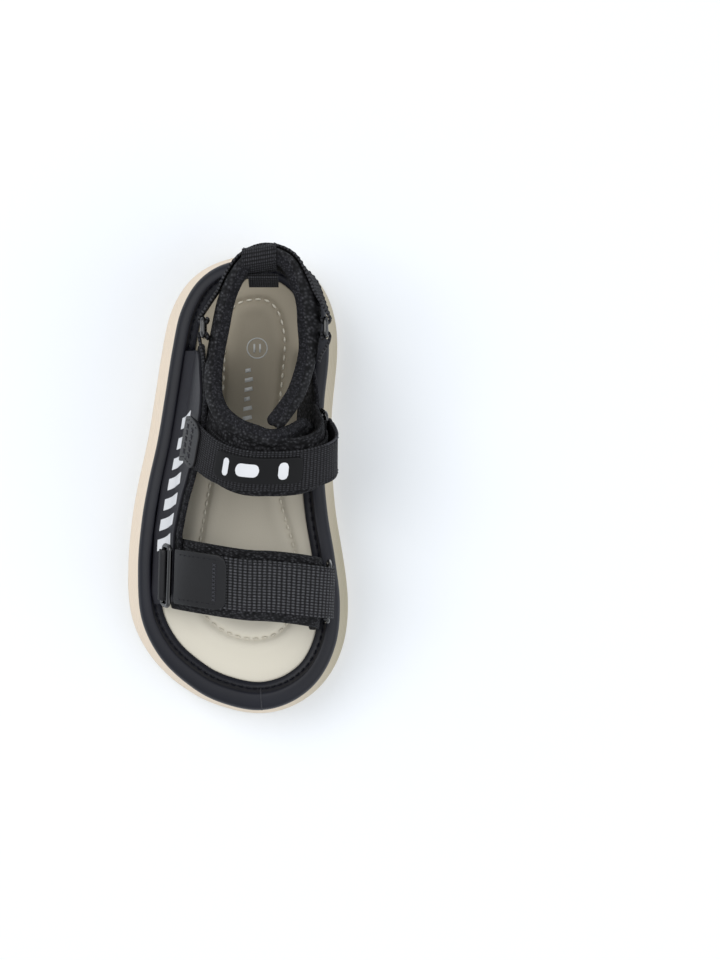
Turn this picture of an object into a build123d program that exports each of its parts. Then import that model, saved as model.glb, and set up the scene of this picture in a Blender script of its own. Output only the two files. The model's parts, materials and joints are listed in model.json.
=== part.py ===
from build123d import *
from math import asin, cos, degrees, radians, sin
import os

# Child's strappy sport sandal for the right foot, EU size 27, millimetres.
# +Z is up, +Y points to the heel, +X is the medial (inner) side.
# The origin is on the floor under the centre of the sole's outline.

# ---------------------------------------------------------------- driving sizes
FLARE = (5.6, 3.1, 2.8, 2.8)   # how far the sole's foot stands out past the rim: lateral, medial, toe, heel
OUTSOLE_THICK = 5.0
TREAD_DEPTH = 2.0
TREAD_BORDER = 2.0        # plain edge round the tread, measured from the rim's outline
LUG_WIDTH = 7.0
LUG_PITCH = 12.0
WALL_TOP = 24.0           # top of the midsole wall
WALL_SETBACK = 0.6        # the rim stands out past the wall's top by this much
RIM_TOP = 31.0
RIM_WIDTH = (9.4, 9.4, 11.8, 8.0)   # lateral, medial, toe, heel
RIM_CHAMFER = 2.0
RECESS_FLOOR = 20.0       # the midsole's recess that holds the footbed
BOARD_THICK = 1.5
FOAM_THICK = 3.5
COVER_THICK = 1.5
FOOTBED_TOP = RECESS_FLOOR + BOARD_THICK + FOAM_THICK + COVER_THICK
FIT_GAP = 0.15            # between glued pieces of the sole
MOVE_GAP = 0.3            # between pieces that move past each other

BAR_RADIUS = 1.0          # wire of the strap rings
WRAP_INNER = BAR_RADIUS + MOVE_GAP
WRAP_OUTER = 2.5          # webbing turned round a ring's bar
KEEPER_WRAP = 2.1         # leather turned round the lateral ring's bar
RING_REACH = 7.0          # from one bar of a ring to the other
RING_SLACK = {"forefoot": 1.0, "instep": 2.6}   # how much longer a ring is inside than its webbing is wide

# Layers of the straps, as distances out from the skin of the foot: (inner, outer)
PADDED_BAND = (0.0, 2.4)
BASE_WEBBING = (2.6, 3.7)
LOOP_TAPE = (3.8, 5.1)
HOOK_TAPE = (5.4, 6.4)
FLAP_WEBBING = (6.5, 7.7)
LEATHER_TIP = (7.9, 8.9)
BAR_OUT = 5.2             # centre line of a ring's bars
QUARTER_LINING = (2.7, 3.9)
QUARTER_OVERLAY = (4.0, 5.1)
ANCHOR_TAIL = (4.0, 5.0)
KEEPER_TAIL = (6.8, 7.8)
PATCH = (7.8, 8.5)

# Outline of the rim's outer edge, from the heel round the lateral side to the toe and back (x, y).
RIM_OUTLINE = [
    (10.0, 95.0), (-5.0, 92.8), (-16.0, 85.5), (-23.2, 73.0), (-26.8, 57.0), (-29.8, 38.0),
    (-33.0, 18.7), (-36.9, 1.0), (-39.8, -16.0), (-41.3, -36.0), (-39.7, -56.8), (-31.3, -73.6),
    (-17.4, -86.2), (-4.0, -92.6), (10.7, -95.0), (24.4, -91.0), (35.4, -81.5), (42.2, -67.0),
    (43.9, -50.0), (41.9, -31.7), (38.7, -12.0), (37.1, 8.0), (37.1, 32.0), (39.2, 54.0),
    (38.4, 70.0), (33.0, 83.5), (23.0, 92.2),
]

# Cross-sections of the foot: y, then lateral x, medial x, how far the ridge leans to the medial
# side, how far the medial side bulges, and the rise of the ridge above the footbed.
FOOT_ROWS = [
    (-62.0, -22.5, 29.0, 4.0, 4.0, 20.0),
    (-45.0, -26.2, 29.5, 6.0, 5.0, 28.0),
    (-20.0, -25.0, 26.0, 8.0, 6.0, 36.0),
    (0.0, -22.0, 23.5, 12.0, 7.0, 43.0),
    (20.0, -18.0, 22.7, 13.0, 7.0, 54.0),
    (45.0, -14.0, 23.8, 12.0, 4.0, 62.0),
    (70.0, -10.5, 25.0, 12.0, 2.0, 70.0),
]
LATERAL_ROUND = 0.8       # exponent of the arch on each side; smaller is boxier
MEDIAL_ROUND = 0.5

# Straps: the turn round the foot in degrees, 0 at the lateral edge of the footbed, 180 at the medial.
FOREFOOT_BAR_TURN = 148.0
FOREFOOT_TIP_TURNS = (36.0, 76.0)
FOREFOOT_LATERAL_RING_TURN = 29.0
INSTEP_BAR_TURN = 150.0
INSTEP_TIP_TURNS = (22.0, 40.0)
INSTEP_PATCH_TURNS = (58.0, 104.0)
WEBBING_START_TURN = 38.0  # where the base webbing comes out from under the lateral quarter
LATERAL_RING_OUT = 8.6    # the lateral ring lies flat on the quarter
LATERAL_RING_REACH = 5.0
FOREFOOT_MARGIN = 4.5     # the padded bands show this far past the webbing
INSTEP_MARGIN = 2.5
SWEEP_LIMIT_TURN = 27.0   # nearer the sole than this, a strap stops sweeping back

# Centre line of the padded collar (x, y, z), and its section.
COLLAR_THICK = 6.5
COLLAR_TALL = 14.0
HEEL_COLLAR_TALL = 18.0
COLLAR_LATERAL_LINE = [
    (-7.1, 54.5, 60.5), (-8.1, 45.0, 61.5), (-7.6, 36.0, 65.0), (-4.2, 28.5, 70.0),
    (2.4, 23.0, 75.0), (9.4, 20.2, 78.0), (15.2, 19.8, 79.0),
]
COLLAR_MEDIAL_LINE = [
    (18.4, 22.6, 78.0), (22.4, 29.0, 74.0), (26.6, 37.0, 68.0), (29.6, 46.0, 63.0),
    (31.2, 54.5, 60.5),
]
HEEL_COLLAR_LINE = [
    (-6.0, 59.5, 61.5), (-4.2, 67.0, 64.0), (-2.8, 74.0, 66.5), (0.4, 82.0, 69.0), (6.0, 88.8, 70.5),
    (14.0, 92.0, 71.0), (22.4, 89.6, 70.5), (29.2, 82.0, 69.0), (32.0, 74.0, 66.5),
    (32.6, 67.0, 64.0), (31.8, 59.5, 61.5),
]
HEEL_WEBBING_TALL = 12.0
HEEL_WEBBING_THICK = 1.4
HEEL_WEBBING_OUT = COLLAR_THICK / 2 + 0.2
HEEL_WEBBING_START = 76.0  # y where the webbing leaves the collar for the rings
HEEL_RING_Y = 67.6        # the rings' rear bars, which the webbing is folded round
HEEL_RING_STANDOFF = 1.4  # how far the side rings stand off the collar
ANCHOR_TALL = 10.0
ANCHOR_THICK = 1.1
HEEL_WRAP_OUTER = 2.3
ANCHOR_FRONT = 52.0       # y where the loops that hold the rings are sewn down
PULL_TAB_WIDTH = 12.0
PULL_TAB_THICK = 2.4
PULL_TAB_DROP = 13.0
PULL_TAB_PIVOT = (13.0, 84.9, 77.0)
PULL_TAB_LEAN = 18.0      # degrees forward of hanging straight


# ---------------------------------------------------------------- outlines of the sole
def shifted(outline, amounts, share=1.0):
    """Move each outline point along its normal: outwards by a share of (lateral, medial, toe, heel)."""
    lateral, medial, toe, heel = [amount * share for amount in amounts]
    moved = []
    for i, (x, y) in enumerate(outline):
        before, after = outline[i - 1], outline[(i + 1) % len(outline)]
        normal = Vector(after[1] - before[1], before[0] - after[0], 0).normalized()
        side = lateral if normal.X < 0 else medial
        end = toe if normal.Y < 0 else heel
        moved.append((x + normal.X * side, y + normal.Y * end))
    return moved


def outline_face(outline, z=0.0):
    curve = Spline(*[(x, y, z) for x, y in outline], periodic=True)
    return Face(Wire([curve]))


def plate(outline, low, high):
    return extrude(outline_face(outline, low), amount=high - low, dir=(0, 0, 1))


def inset(outline, distance):
    return shifted(outline, (distance,) * 4, -1.0)


def rim_inset(amount):
    """The rim's outline pulled in by a share of the rim's width, 0 at its outer edge, 1 at its inner."""
    return shifted(RIM_OUTLINE, RIM_WIDTH, -amount)


def make_outsole():
    sole = plate(shifted(RIM_OUTLINE, FLARE), 0.0, OUTSOLE_THICK)
    grooves = []
    groove_width = LUG_PITCH - LUG_WIDTH
    for i in range(-7, 8):
        slot = Box(120, groove_width, TREAD_DEPTH, align=(Align.CENTER, Align.CENTER, Align.MIN))
        grooves.append(Pos(0, i * LUG_PITCH, 0) * slot)
    tread_zone = plate(inset(RIM_OUTLINE, TREAD_BORDER), 0.0, TREAD_DEPTH)
    for groove in grooves:
        sole -= groove & tread_zone
    return sole


def make_midsole():
    foot = outline_face(shifted(RIM_OUTLINE, FLARE), OUTSOLE_THICK)
    top = outline_face(inset(RIM_OUTLINE, WALL_SETBACK), WALL_TOP)
    wall = Solid.make_loft([foot.outer_wire(), top.outer_wire()], ruled=True)
    recess = plate(rim_inset(1.0), RECESS_FLOOR, WALL_TOP + 1)
    return wall - recess


def footbed_layer(low, thick):
    return plate(inset(rim_inset(1.0), FIT_GAP), low, low + thick)


def make_rim():
    """The rolled rim, hollow underneath for its foam cord."""
    body = plate(RIM_OUTLINE, WALL_TOP, RIM_TOP) - plate(rim_inset(1.0), WALL_TOP, RIM_TOP)
    body = chamfer(body.faces().sort_by(Axis.Z)[-1].edges(), RIM_CHAMFER)
    groove = plate(rim_inset(0.22), WALL_TOP, WALL_TOP + 4.0) - plate(rim_inset(0.72), WALL_TOP, WALL_TOP + 4.0)
    filler = plate(rim_inset(0.24), WALL_TOP, WALL_TOP + 3.8) - plate(rim_inset(0.70), WALL_TOP, WALL_TOP + 3.8)
    return body - groove, filler


# ---------------------------------------------------------------- the foot the straps lie on
def foot_row(y):
    """The foot's section at y, between the rows of the table."""
    rows = FOOT_ROWS
    y = min(max(y, rows[0][0]), rows[-1][0])
    for low, high in zip(rows, rows[1:]):
        if y <= high[0]:
            share = (y - low[0]) / (high[0] - low[0])
            return [a + (b - a) * share for a, b in zip(low[1:], high[1:])]
    return list(rows[-1][1:])


def skin(y, turn):
    """Point on the foot's skin at y, turned round it from the lateral edge (0) to the medial (180)."""
    lateral, medial, lean, bulge, rise = foot_row(y)
    middle, half = (lateral + medial) / 2, (medial - lateral) / 2
    angle = radians(turn)
    up = max(sin(angle), 0.0)
    along = cos(angle)
    if along >= 0:
        across = -half * along ** LATERAL_ROUND
        height = up ** LATERAL_ROUND
    else:
        across = half * (-along) ** MEDIAL_ROUND - bulge * sin(2 * angle)
        height = up ** (0.5 * (LATERAL_ROUND + MEDIAL_ROUND))
    return Vector(middle + across + lean * up, y, FOOTBED_TOP + rise * height)


def outward(y, turn):
    """The skin's outward direction across the foot."""
    step = skin(y, min(turn + 1.5, 180.0)) - skin(y, max(turn - 1.5, 0.0))
    return Vector(-step.Z, 0, step.X).normalized()


def turn_at(y, z, medial=False):
    """The turn at which the skin reaches the height z."""
    rise = foot_row(y)[-1]
    share = min(max((z - FOOTBED_TOP) / rise, 0.0), 0.999)
    power = 0.5 * (LATERAL_ROUND + MEDIAL_ROUND) if medial else LATERAL_ROUND
    turn = degrees(asin(share ** (1 / power)))
    return 180.0 - turn if medial else turn


# ---------------------------------------------------------------- straps laid on the foot
def forefoot_edges(turn):
    """Toe-side and heel-side y of the forefoot webbing at this turn."""
    slant = 4.5 * cos(radians(turn))
    return -52.0 + slant, -31.0 + slant


def instep_edges(turn):
    """The same for the instep webbing, whose ends sweep back towards the heel."""
    turn = min(max(turn, SWEEP_LIMIT_TURN), 180.0 - SWEEP_LIMIT_TURN)
    sweep_back = 1 - sin(radians(turn))
    return -2.5 + 24.0 * sweep_back, 13.2 + 26.0 * sweep_back


def stations(edges, first, last, steps):
    """Rungs across a strap: toe-side point, heel-side point and outward direction."""
    rungs = []
    for i in range(steps + 1):
        turn = first + (last - first) * i / steps
        toe_y, heel_y = edges(turn)
        normal = (outward(toe_y, turn) + outward(heel_y, turn)).normalized()
        rungs.append((skin(toe_y, turn), skin(heel_y, turn), normal))
    return rungs


def layer(rungs, depths, margin=0.0):
    """One layer of a strap, between two distances out from the skin."""
    low, high = depths
    wires = []
    for toe, heel, normal in rungs:
        spread = (heel - toe).normalized() * margin
        toe, heel = toe - spread, heel + spread
        corners = [toe + normal * low, heel + normal * low, heel + normal * high, toe + normal * high]
        wires.append(Wire.make_polygon(corners, close=True))
    return Solid.make_loft(wires)


def bar_frame(edges, turn, out=BAR_OUT):
    """Plane centred on a ring bar: x along the bar, z out from the foot."""
    toe, heel, normal = stations(edges, turn, turn, 1)[0]
    along = (heel - toe).normalized()
    normal = (normal - along * normal.dot(along)).normalized()
    centre = (toe + heel) * 0.5 + normal * out
    return Plane(origin=centre, x_dir=along, z_dir=normal)


def tube(frame, length, outer, inner, shift=0.0):
    """A tube along the bar of a ring, moved down the strap by shift."""
    face = Pos(0, shift, 0) * Rot(0, 90, 0) * (Circle(outer) - Circle(inner))
    return frame * extrude(face, amount=length / 2, both=True)


def wire_ring(frame, inside_length, reach):
    """Ring of round wire with one bar on the frame's origin and the other down the strap."""
    half = inside_length / 2 + BAR_RADIUS
    corners = [(-half, 0), (half, 0), (half, reach), (-half, reach)]
    path = FilletPolyline(*corners, radius=1.6, close=True)
    start = path.location_at(0.0)
    section = Plane(origin=start.position, z_dir=path.tangent_at(0.0)) * Circle(BAR_RADIUS)
    return frame * sweep(section, path=path)


def strap_width(edges, turn):
    toe, heel, _ = stations(edges, turn, turn, 1)[0]
    return (heel - toe).length


def down_sign(frame):
    """+1 when the frame's y axis points down the medial side, -1 when it points up."""
    return 1.0 if frame.y_dir.Z < 0 else -1.0


def make_strap(edges, bar_turn, tip_turns, prefix):
    """Webbing, tapes, ring, anchor, flap and tip of one hook-and-loop strap."""
    frame = bar_frame(edges, bar_turn)
    width = strap_width(edges, bar_turn)
    reach = RING_REACH * down_sign(frame)
    base_start, base_end = max(tip_turns[0], WEBBING_START_TURN), bar_turn - 10.0
    tape_end = bar_turn - 32.0
    flap = layer(stations(edges, tip_turns[0] + 1.0, bar_turn, 24), FLAP_WEBBING)
    bore = frame * Cylinder(WRAP_INNER, width + 6.0, rotation=(0, 90, 0))
    return {
        prefix + "_base_webbing": layer(stations(edges, base_start, base_end, 20), BASE_WEBBING),
        prefix + "_loop_tape": layer(stations(edges, base_start + 1.0, tape_end, 16), LOOP_TAPE, -1.0),
        prefix + "_hook_tape": layer(stations(edges, tip_turns[0] + 3.0, tape_end, 16), HOOK_TAPE, -1.0),
        prefix + "_flap": tube(frame, width, WRAP_OUTER, WRAP_INNER) + (flap - bore),
        prefix + "_tip": layer(stations(edges, *tip_turns, 12), LEATHER_TIP, 0.8),
        prefix + "_medial_ring": wire_ring(frame, width + RING_SLACK[prefix], reach),
        prefix + "_medial_anchor": make_anchor(edges, frame, bar_turn, 176.0, width, reach, ANCHOR_TAIL),
    }


def turn_beyond(edges, turn, distance, step):
    """The turn that lies this far along the strap's middle from another."""
    toe_y, heel_y = edges(turn)
    start = skin((toe_y + heel_y) / 2, turn)
    while 2.0 < turn < 178.0:
        turn += step
        toe_y, heel_y = edges(turn)
        if (skin((toe_y + heel_y) / 2, turn) - start).length >= distance:
            break
    return turn


def make_anchor(edges, frame, bar_turn, end_turn, width, reach, depths, outer=WRAP_OUTER):
    """Loop round a ring's far bar, with a tail down to the sole."""
    loop = tube(frame, width - 1.0, outer, WRAP_INNER, reach)
    step = 0.5 if end_turn > bar_turn else -0.5
    far_turn = turn_beyond(edges, bar_turn, abs(reach) * 0.9, step)
    tail = layer(stations(edges, far_turn, end_turn, 8), depths, -0.6)
    bore = frame * Pos(0, reach, 0) * Cylinder(WRAP_INNER, width + 6.0, rotation=(0, 90, 0))
    return loop + (tail - bore)


def make_lateral_ring():
    """Ring that lies flat on the quarter in front of the forefoot tip, and the leather that holds it."""
    turn = FOREFOOT_LATERAL_RING_TURN
    frame = bar_frame(forefoot_edges, turn, LATERAL_RING_OUT)
    width = strap_width(forefoot_edges, turn)
    reach = LATERAL_RING_REACH * down_sign(frame)
    ring = wire_ring(frame, width + 1.6, reach)
    keeper = make_anchor(forefoot_edges, frame, turn, 9.0, width, reach, KEEPER_TAIL, KEEPER_WRAP)
    return ring, keeper


# ---------------------------------------------------------------- quarters and collar
def wall(rows, depths, medial=False):
    """Sheet of the upper through sections at y, from a low height to a high one."""
    low, high = depths
    wires = []
    for y, bottom, top in rows:
        first, last = turn_at(y, bottom, medial), turn_at(y, top, medial)
        turns = [first + (last - first) * i / 4 for i in range(5)]
        inner = [skin(y, t) + outward(y, t) * low for t in turns]
        outer = [skin(y, t) + outward(y, t) * high for t in reversed(turns)]
        edges = [Spline(*inner), Line(inner[-1], outer[0]), Spline(*outer), Line(outer[-1], inner[0])]
        wires.append(Wire(edges))
    return Solid.make_loft(wires)


def collar_section(point, along, tall, thick):
    frame = Plane(origin=point, z_dir=along, x_dir=Vector(0, 0, 1).cross(along))
    return Wire(frame * Ellipse(thick / 2, tall / 2).edge())


def padded_roll(line, tall):
    """Padded roll of elliptical section through the points of a line."""
    path = Spline(*line)
    count = len(line) * 2
    wires = []
    for i in range(count + 1):
        along = path.tangent_at(i / count)
        along = Vector(along.X, along.Y, 0.0).normalized()
        wires.append(collar_section(path.position_at(i / count), along, tall, COLLAR_THICK))
    return Solid.make_loft(wires)


def ring_x(line_end, out_sign):
    """Where the side ring's bars stand, clear of the heel collar."""
    return line_end[0] + out_sign * (COLLAR_THICK / 2 + HEEL_RING_STANDOFF + BAR_RADIUS)


def upright_section(inner, outer, tall):
    up = Vector(0, 0, tall / 2)
    return Wire.make_polygon([inner - up, inner + up, outer + up, outer - up], close=True)


def make_heel_webbing():
    """Webbing round the outside of the heel collar, folded round the rear bar of each side ring."""
    line, low = HEEL_COLLAR_LINE, HEEL_WEBBING_OUT
    high = low + HEEL_WEBBING_THICK
    path = Spline(*line)
    lateral, medial = ring_x(line[0], -1.0), ring_x(line[-2], 1.0)
    ends = [(lateral, -1.0, line[1][2]), (medial, 1.0, line[-2][2])]
    tips = []
    for x, sign, z in ends:
        inner = Vector(x + sign * (WRAP_INNER + 0.1), HEEL_RING_Y, z)
        outer = Vector(x + sign * (HEEL_WRAP_OUTER + 0.05), HEEL_RING_Y, z)
        tips.append(upright_section(inner, outer, HEEL_WEBBING_TALL))
    wires = [tips[0]]
    for i in range(31):
        centre, along = path.position_at(i / 30), path.tangent_at(i / 30)
        if centre.Y > HEEL_WEBBING_START:
            out = Vector(-along.Y, along.X, 0.0).normalized()
            wires.append(upright_section(centre + out * low, centre + out * high, HEEL_WEBBING_TALL))
    wires.append(tips[1])
    fold = extrude(Circle(HEEL_WRAP_OUTER) - Circle(WRAP_INNER), HEEL_WEBBING_TALL / 2, both=True)
    folds = [Pos(x, HEEL_RING_Y, z) * fold for x, sign, z in ends]
    return folds[0] + Solid.make_loft(wires, ruled=True) + folds[1]


def heel_side(line_end, z, out_sign):
    """Upright ring beside the heel collar, and the webbing loop that ties it to the quarter."""
    x, y = ring_x(line_end, out_sign), HEEL_RING_Y
    frame = Plane(origin=(x, y, z), x_dir=(0, 0, 1), z_dir=(out_sign, 0, 0))
    reach = -RING_REACH if frame.y_dir.Y > 0 else RING_REACH
    ring = wire_ring(frame, HEEL_WEBBING_TALL + 0.6, reach)
    front = y - RING_REACH
    loop = Pos(x, front, z) * extrude(Circle(HEEL_WRAP_OUTER) - Circle(WRAP_INNER), ANCHOR_TALL / 2, both=True)
    tail_run = front - WRAP_INNER - ANCHOR_FRONT
    tail = Box(ANCHOR_THICK, tail_run, ANCHOR_TALL, align=(Align.CENTER, Align.MIN, Align.CENTER))
    tail = Pos(x + out_sign * (WRAP_INNER + 0.1), ANCHOR_FRONT, z) * tail
    return ring, loop + tail


def make_pull_tab():
    tab = Box(PULL_TAB_WIDTH, PULL_TAB_THICK, PULL_TAB_DROP, align=(Align.CENTER, Align.CENTER, Align.MAX))
    return Pos(*PULL_TAB_PIVOT) * Rot(-PULL_TAB_LEAN, 0, 0) * tab


# ---------------------------------------------------------------- the sandal
def make_sole():
    rim, filler = make_rim()
    board_top = RECESS_FLOOR + BOARD_THICK
    return {
        "outsole": make_outsole(),
        "midsole": make_midsole(),
        "insole_board": footbed_layer(RECESS_FLOOR, BOARD_THICK),
        "footbed_foam": footbed_layer(board_top, FOAM_THICK),
        "footbed_cover": footbed_layer(board_top + FOAM_THICK, COVER_THICK),
        "rim_binding": rim,
        "rim_filler": filler,
    }


def make_upper():
    lateral_rows = [
        (-57.0, FOOTBED_TOP, 40.0), (-45.0, FOOTBED_TOP, 44.0), (-25.0, FOOTBED_TOP, 45.0),
        (-5.0, FOOTBED_TOP, 48.0), (15.0, FOOTBED_TOP, 56.0), (35.0, FOOTBED_TOP, 59.0),
        (48.0, FOOTBED_TOP, 53.0), (58.0, FOOTBED_TOP, 43.0),
    ]
    overlay_rows = [(y, low + 0.5, top - 3.0) for y, low, top in lateral_rows]
    medial_foot = FOOTBED_TOP + 1.6
    medial_rows = [
        (6.0, medial_foot, 40.0), (20.0, medial_foot, 47.0), (34.0, medial_foot, 54.0),
        (46.0, medial_foot, 53.0), (56.0, medial_foot, 46.0),
    ]
    return {
        "lateral_quarter_lining": wall(lateral_rows, QUARTER_LINING),
        "lateral_overlay": wall(overlay_rows, QUARTER_OVERLAY),
        "medial_quarter": wall(medial_rows, QUARTER_LINING, medial=True),
        "vamp_band": layer(stations(forefoot_edges, 3.0, 177.0, 24), PADDED_BAND, FOREFOOT_MARGIN),
        "instep_band": layer(stations(instep_edges, 6.0, 174.0, 24), PADDED_BAND, INSTEP_MARGIN),
        "collar_lateral": padded_roll(COLLAR_LATERAL_LINE, COLLAR_TALL),
        "collar_medial": padded_roll(COLLAR_MEDIAL_LINE, COLLAR_TALL),
    }


def make_heel():
    line = HEEL_COLLAR_LINE
    lateral_ring, lateral_anchor = heel_side(line[0], line[1][2], -1.0)
    medial_ring, medial_anchor = heel_side(line[-2], line[-2][2], 1.0)
    return {
        "heel_collar": padded_roll(HEEL_COLLAR_LINE, HEEL_COLLAR_TALL),
        "heel_webbing": make_heel_webbing(),
        "heel_ring_lateral": lateral_ring,
        "heel_ring_medial": medial_ring,
        "heel_anchor_lateral": lateral_anchor,
        "heel_anchor_medial": medial_anchor,
        "heel_pull_tab": make_pull_tab(),
    }


def main():
    os.makedirs("parts", exist_ok=True)
    pieces = {}
    pieces.update(make_sole())
    pieces.update(make_upper())
    pieces.update(make_strap(forefoot_edges, FOREFOOT_BAR_TURN, FOREFOOT_TIP_TURNS, "forefoot"))
    pieces.update(make_strap(instep_edges, INSTEP_BAR_TURN, INSTEP_TIP_TURNS, "instep"))
    pieces["forefoot_lateral_ring"], pieces["forefoot_keeper"] = make_lateral_ring()
    pieces["instep_patch"] = layer(stations(instep_edges, *INSTEP_PATCH_TURNS, 12), PATCH, -3.0)
    pieces.update(make_heel())
    for name, piece in pieces.items():
        export_step(piece, f"parts/{name}.step")
        print(name, round(piece.volume), piece.is_valid)


main()
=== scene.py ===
# %% [markdown]
# # A child's sport sandal
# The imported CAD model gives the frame: where each piece sits and what it moves with. This lesson makes
# the looks around it: a flared foam sole, a rolled rim, a cushioned footbed, padded knit bands and
# collar, woven webbing, pressed leather tips and small plastic rings.

# %% Load the frame
import json
import math
import bmesh
import bpy
from mathutils import Matrix, Vector
from mathutils.kdtree import KDTree


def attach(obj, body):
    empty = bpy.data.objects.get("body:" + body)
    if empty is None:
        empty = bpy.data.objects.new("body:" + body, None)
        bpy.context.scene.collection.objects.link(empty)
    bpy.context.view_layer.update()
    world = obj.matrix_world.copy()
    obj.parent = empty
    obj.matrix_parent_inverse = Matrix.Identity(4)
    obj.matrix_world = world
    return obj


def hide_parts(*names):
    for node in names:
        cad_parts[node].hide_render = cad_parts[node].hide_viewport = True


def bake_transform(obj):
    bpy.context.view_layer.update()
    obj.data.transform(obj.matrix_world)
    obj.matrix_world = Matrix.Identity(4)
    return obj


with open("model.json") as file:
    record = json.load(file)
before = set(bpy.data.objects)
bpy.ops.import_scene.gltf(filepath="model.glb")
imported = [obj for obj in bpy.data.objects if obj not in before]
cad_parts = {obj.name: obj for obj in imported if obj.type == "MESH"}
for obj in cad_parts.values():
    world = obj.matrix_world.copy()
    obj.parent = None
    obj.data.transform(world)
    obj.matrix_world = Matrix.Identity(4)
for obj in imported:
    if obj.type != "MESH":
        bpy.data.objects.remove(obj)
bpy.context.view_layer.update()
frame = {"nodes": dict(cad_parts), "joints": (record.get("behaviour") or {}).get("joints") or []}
scene = bpy.context.scene
JOINTS = {joint["name"]: joint for joint in frame["joints"]}

# %% [markdown]
# ## Lines and sheets
# Shoes are made of strips and outlines, so two helpers do most of the work. `Line` is a smooth line
# through a few points that can be read by distance, which keeps stitches and weave evenly spaced.
# `grid` starts from Blender's own grid and bends it into place. It also writes a UV map in millimetres,
# so that a thread is the same size on every strap.

# %% A smooth line read by distance
MM = 0.001


class Line:
    """A smooth line through a few points, in millimetres, read by distance along it."""

    def __init__(self, points, closed=False, steps=16):
        corners = [Vector(p).to_3d() for p in points]
        count = len(corners)
        self.closed = closed
        self.points = []
        for i in range(count if closed else count - 1):
            if closed:
                a, b, c, d = (corners[(i + k) % count] for k in (-1, 0, 1, 2))
            else:
                a, b, c, d = (corners[min(max(i + k, 0), count - 1)] for k in (-1, 0, 1, 2))
            for j in range(steps):
                t = j / steps
                curve = b * 2 + (c - a) * t + (a * 2 - b * 5 + c * 4 - d) * t * t
                self.points.append((curve + (b * 3 - a - c * 3 + d) * t ** 3) * 0.5)
        self.points.append(self.points[0].copy() if closed else corners[-1])
        self.marks = [0.0]
        for before, after in zip(self.points, self.points[1:]):
            self.marks.append(self.marks[-1] + (after - before).length)
        self.length = self.marks[-1]

    def at(self, distance):
        if self.closed:
            distance %= self.length
        distance = min(max(distance, 0.0), self.length)
        low, high = 0, len(self.marks) - 1
        while high - low > 1:
            middle = (low + high) // 2
            if self.marks[middle] <= distance:
                low = middle
            else:
                high = middle
        run = max(self.marks[high] - self.marks[low], 1e-9)
        return self.points[low].lerp(self.points[high], (distance - self.marks[low]) / run)

    def along(self, distance, reach=0.6):
        return (self.at(distance + reach) - self.at(distance - reach)).normalized()


# %% Sheets, pieces and their finish
def grid(steps_u, steps_v, place, size_u, size_v, closed=False):
    """Blender's grid, bent by place(u, v) in millimetres, with a UV map of size_u by size_v."""
    bm = bmesh.new()
    bmesh.ops.create_grid(bm, x_segments=steps_u, y_segments=steps_v, size=0.5)
    uv_map = bm.loops.layers.uv.new("UVMap")
    for face in bm.faces:
        for loop in face.loops:
            loop[uv_map].uv = ((loop.vert.co.x + 0.5) * size_u, (loop.vert.co.y + 0.5) * size_v)
    for vert in bm.verts:
        vert.co = place(vert.co.x + 0.5, vert.co.y + 0.5) * MM
    if closed:
        bmesh.ops.remove_doubles(bm, verts=bm.verts, dist=0.00001)
        bmesh.ops.holes_fill(bm, edges=bm.edges, sides=0)
        bmesh.ops.recalc_face_normals(bm, faces=bm.faces)
    return bm


def piece(name, bm, body, material, replaces=()):
    """Turn a bmesh into a smooth object that rides on a body and stands for CAD nodes."""
    mesh = bpy.data.meshes.new(name)
    bm.to_mesh(mesh)
    bm.free()
    mesh.polygons.foreach_set("use_smooth", [True] * len(mesh.polygons))
    mesh.materials.append(material)
    obj = bpy.data.objects.new(name, mesh)
    scene.collection.objects.link(obj)
    if body:
        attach(obj, body)
    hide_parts(*replaces)
    return obj


def thicken(obj, thickness, rounded=0.25):
    """Give a sheet its thickness in millimetres, half to each side, and soft edges."""
    solid = obj.modifiers.new("thickness", "SOLIDIFY")
    solid.thickness, solid.offset = thickness * MM, 0.0
    solid.use_even_offset = True
    bevel = obj.modifiers.new("soft_edges", "BEVEL")
    bevel.width, bevel.segments, bevel.limit_method = rounded * MM, 2, "ANGLE"
    bevel.angle_limit = math.radians(50)


# %% [markdown]
# ## The shape of the foot
# A shoemaker builds the upper on a wooden foot. The same foot is kept here as a few cross-sections, so
# every band and strap lies on it: a turn of 0 is the lateral edge of the footbed, 90 the ridge, and 180
# the medial edge.

# %% The foot's skin
FOOTBED_TOP = 26.5
FOOT_ROWS = [  # y, lateral x, medial x, lean, bulge, rise
    (-62.0, -22.5, 29.0, 4.0, 4.0, 20.0), (-45.0, -26.2, 29.5, 6.0, 5.0, 28.0),
    (-20.0, -25.0, 26.0, 8.0, 6.0, 36.0), (0.0, -22.0, 23.5, 12.0, 7.0, 43.0),
    (20.0, -18.0, 22.7, 13.0, 7.0, 54.0), (45.0, -14.0, 23.8, 12.0, 4.0, 62.0),
    (70.0, -10.5, 25.0, 12.0, 2.0, 70.0),
]
LATERAL_ROUND, MEDIAL_ROUND = 0.8, 0.5   # 1 is an ellipse's side, and less is boxier


def foot_row(y):
    """The cross-section at y, between the two rows that lie nearest."""
    y = min(max(y, FOOT_ROWS[0][0]), FOOT_ROWS[-1][0])
    for low, high in zip(FOOT_ROWS, FOOT_ROWS[1:]):
        if y <= high[0]:
            share = (y - low[0]) / (high[0] - low[0])
            return [a + (b - a) * share for a, b in zip(low[1:], high[1:])]
    return list(FOOT_ROWS[-1][1:])


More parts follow.
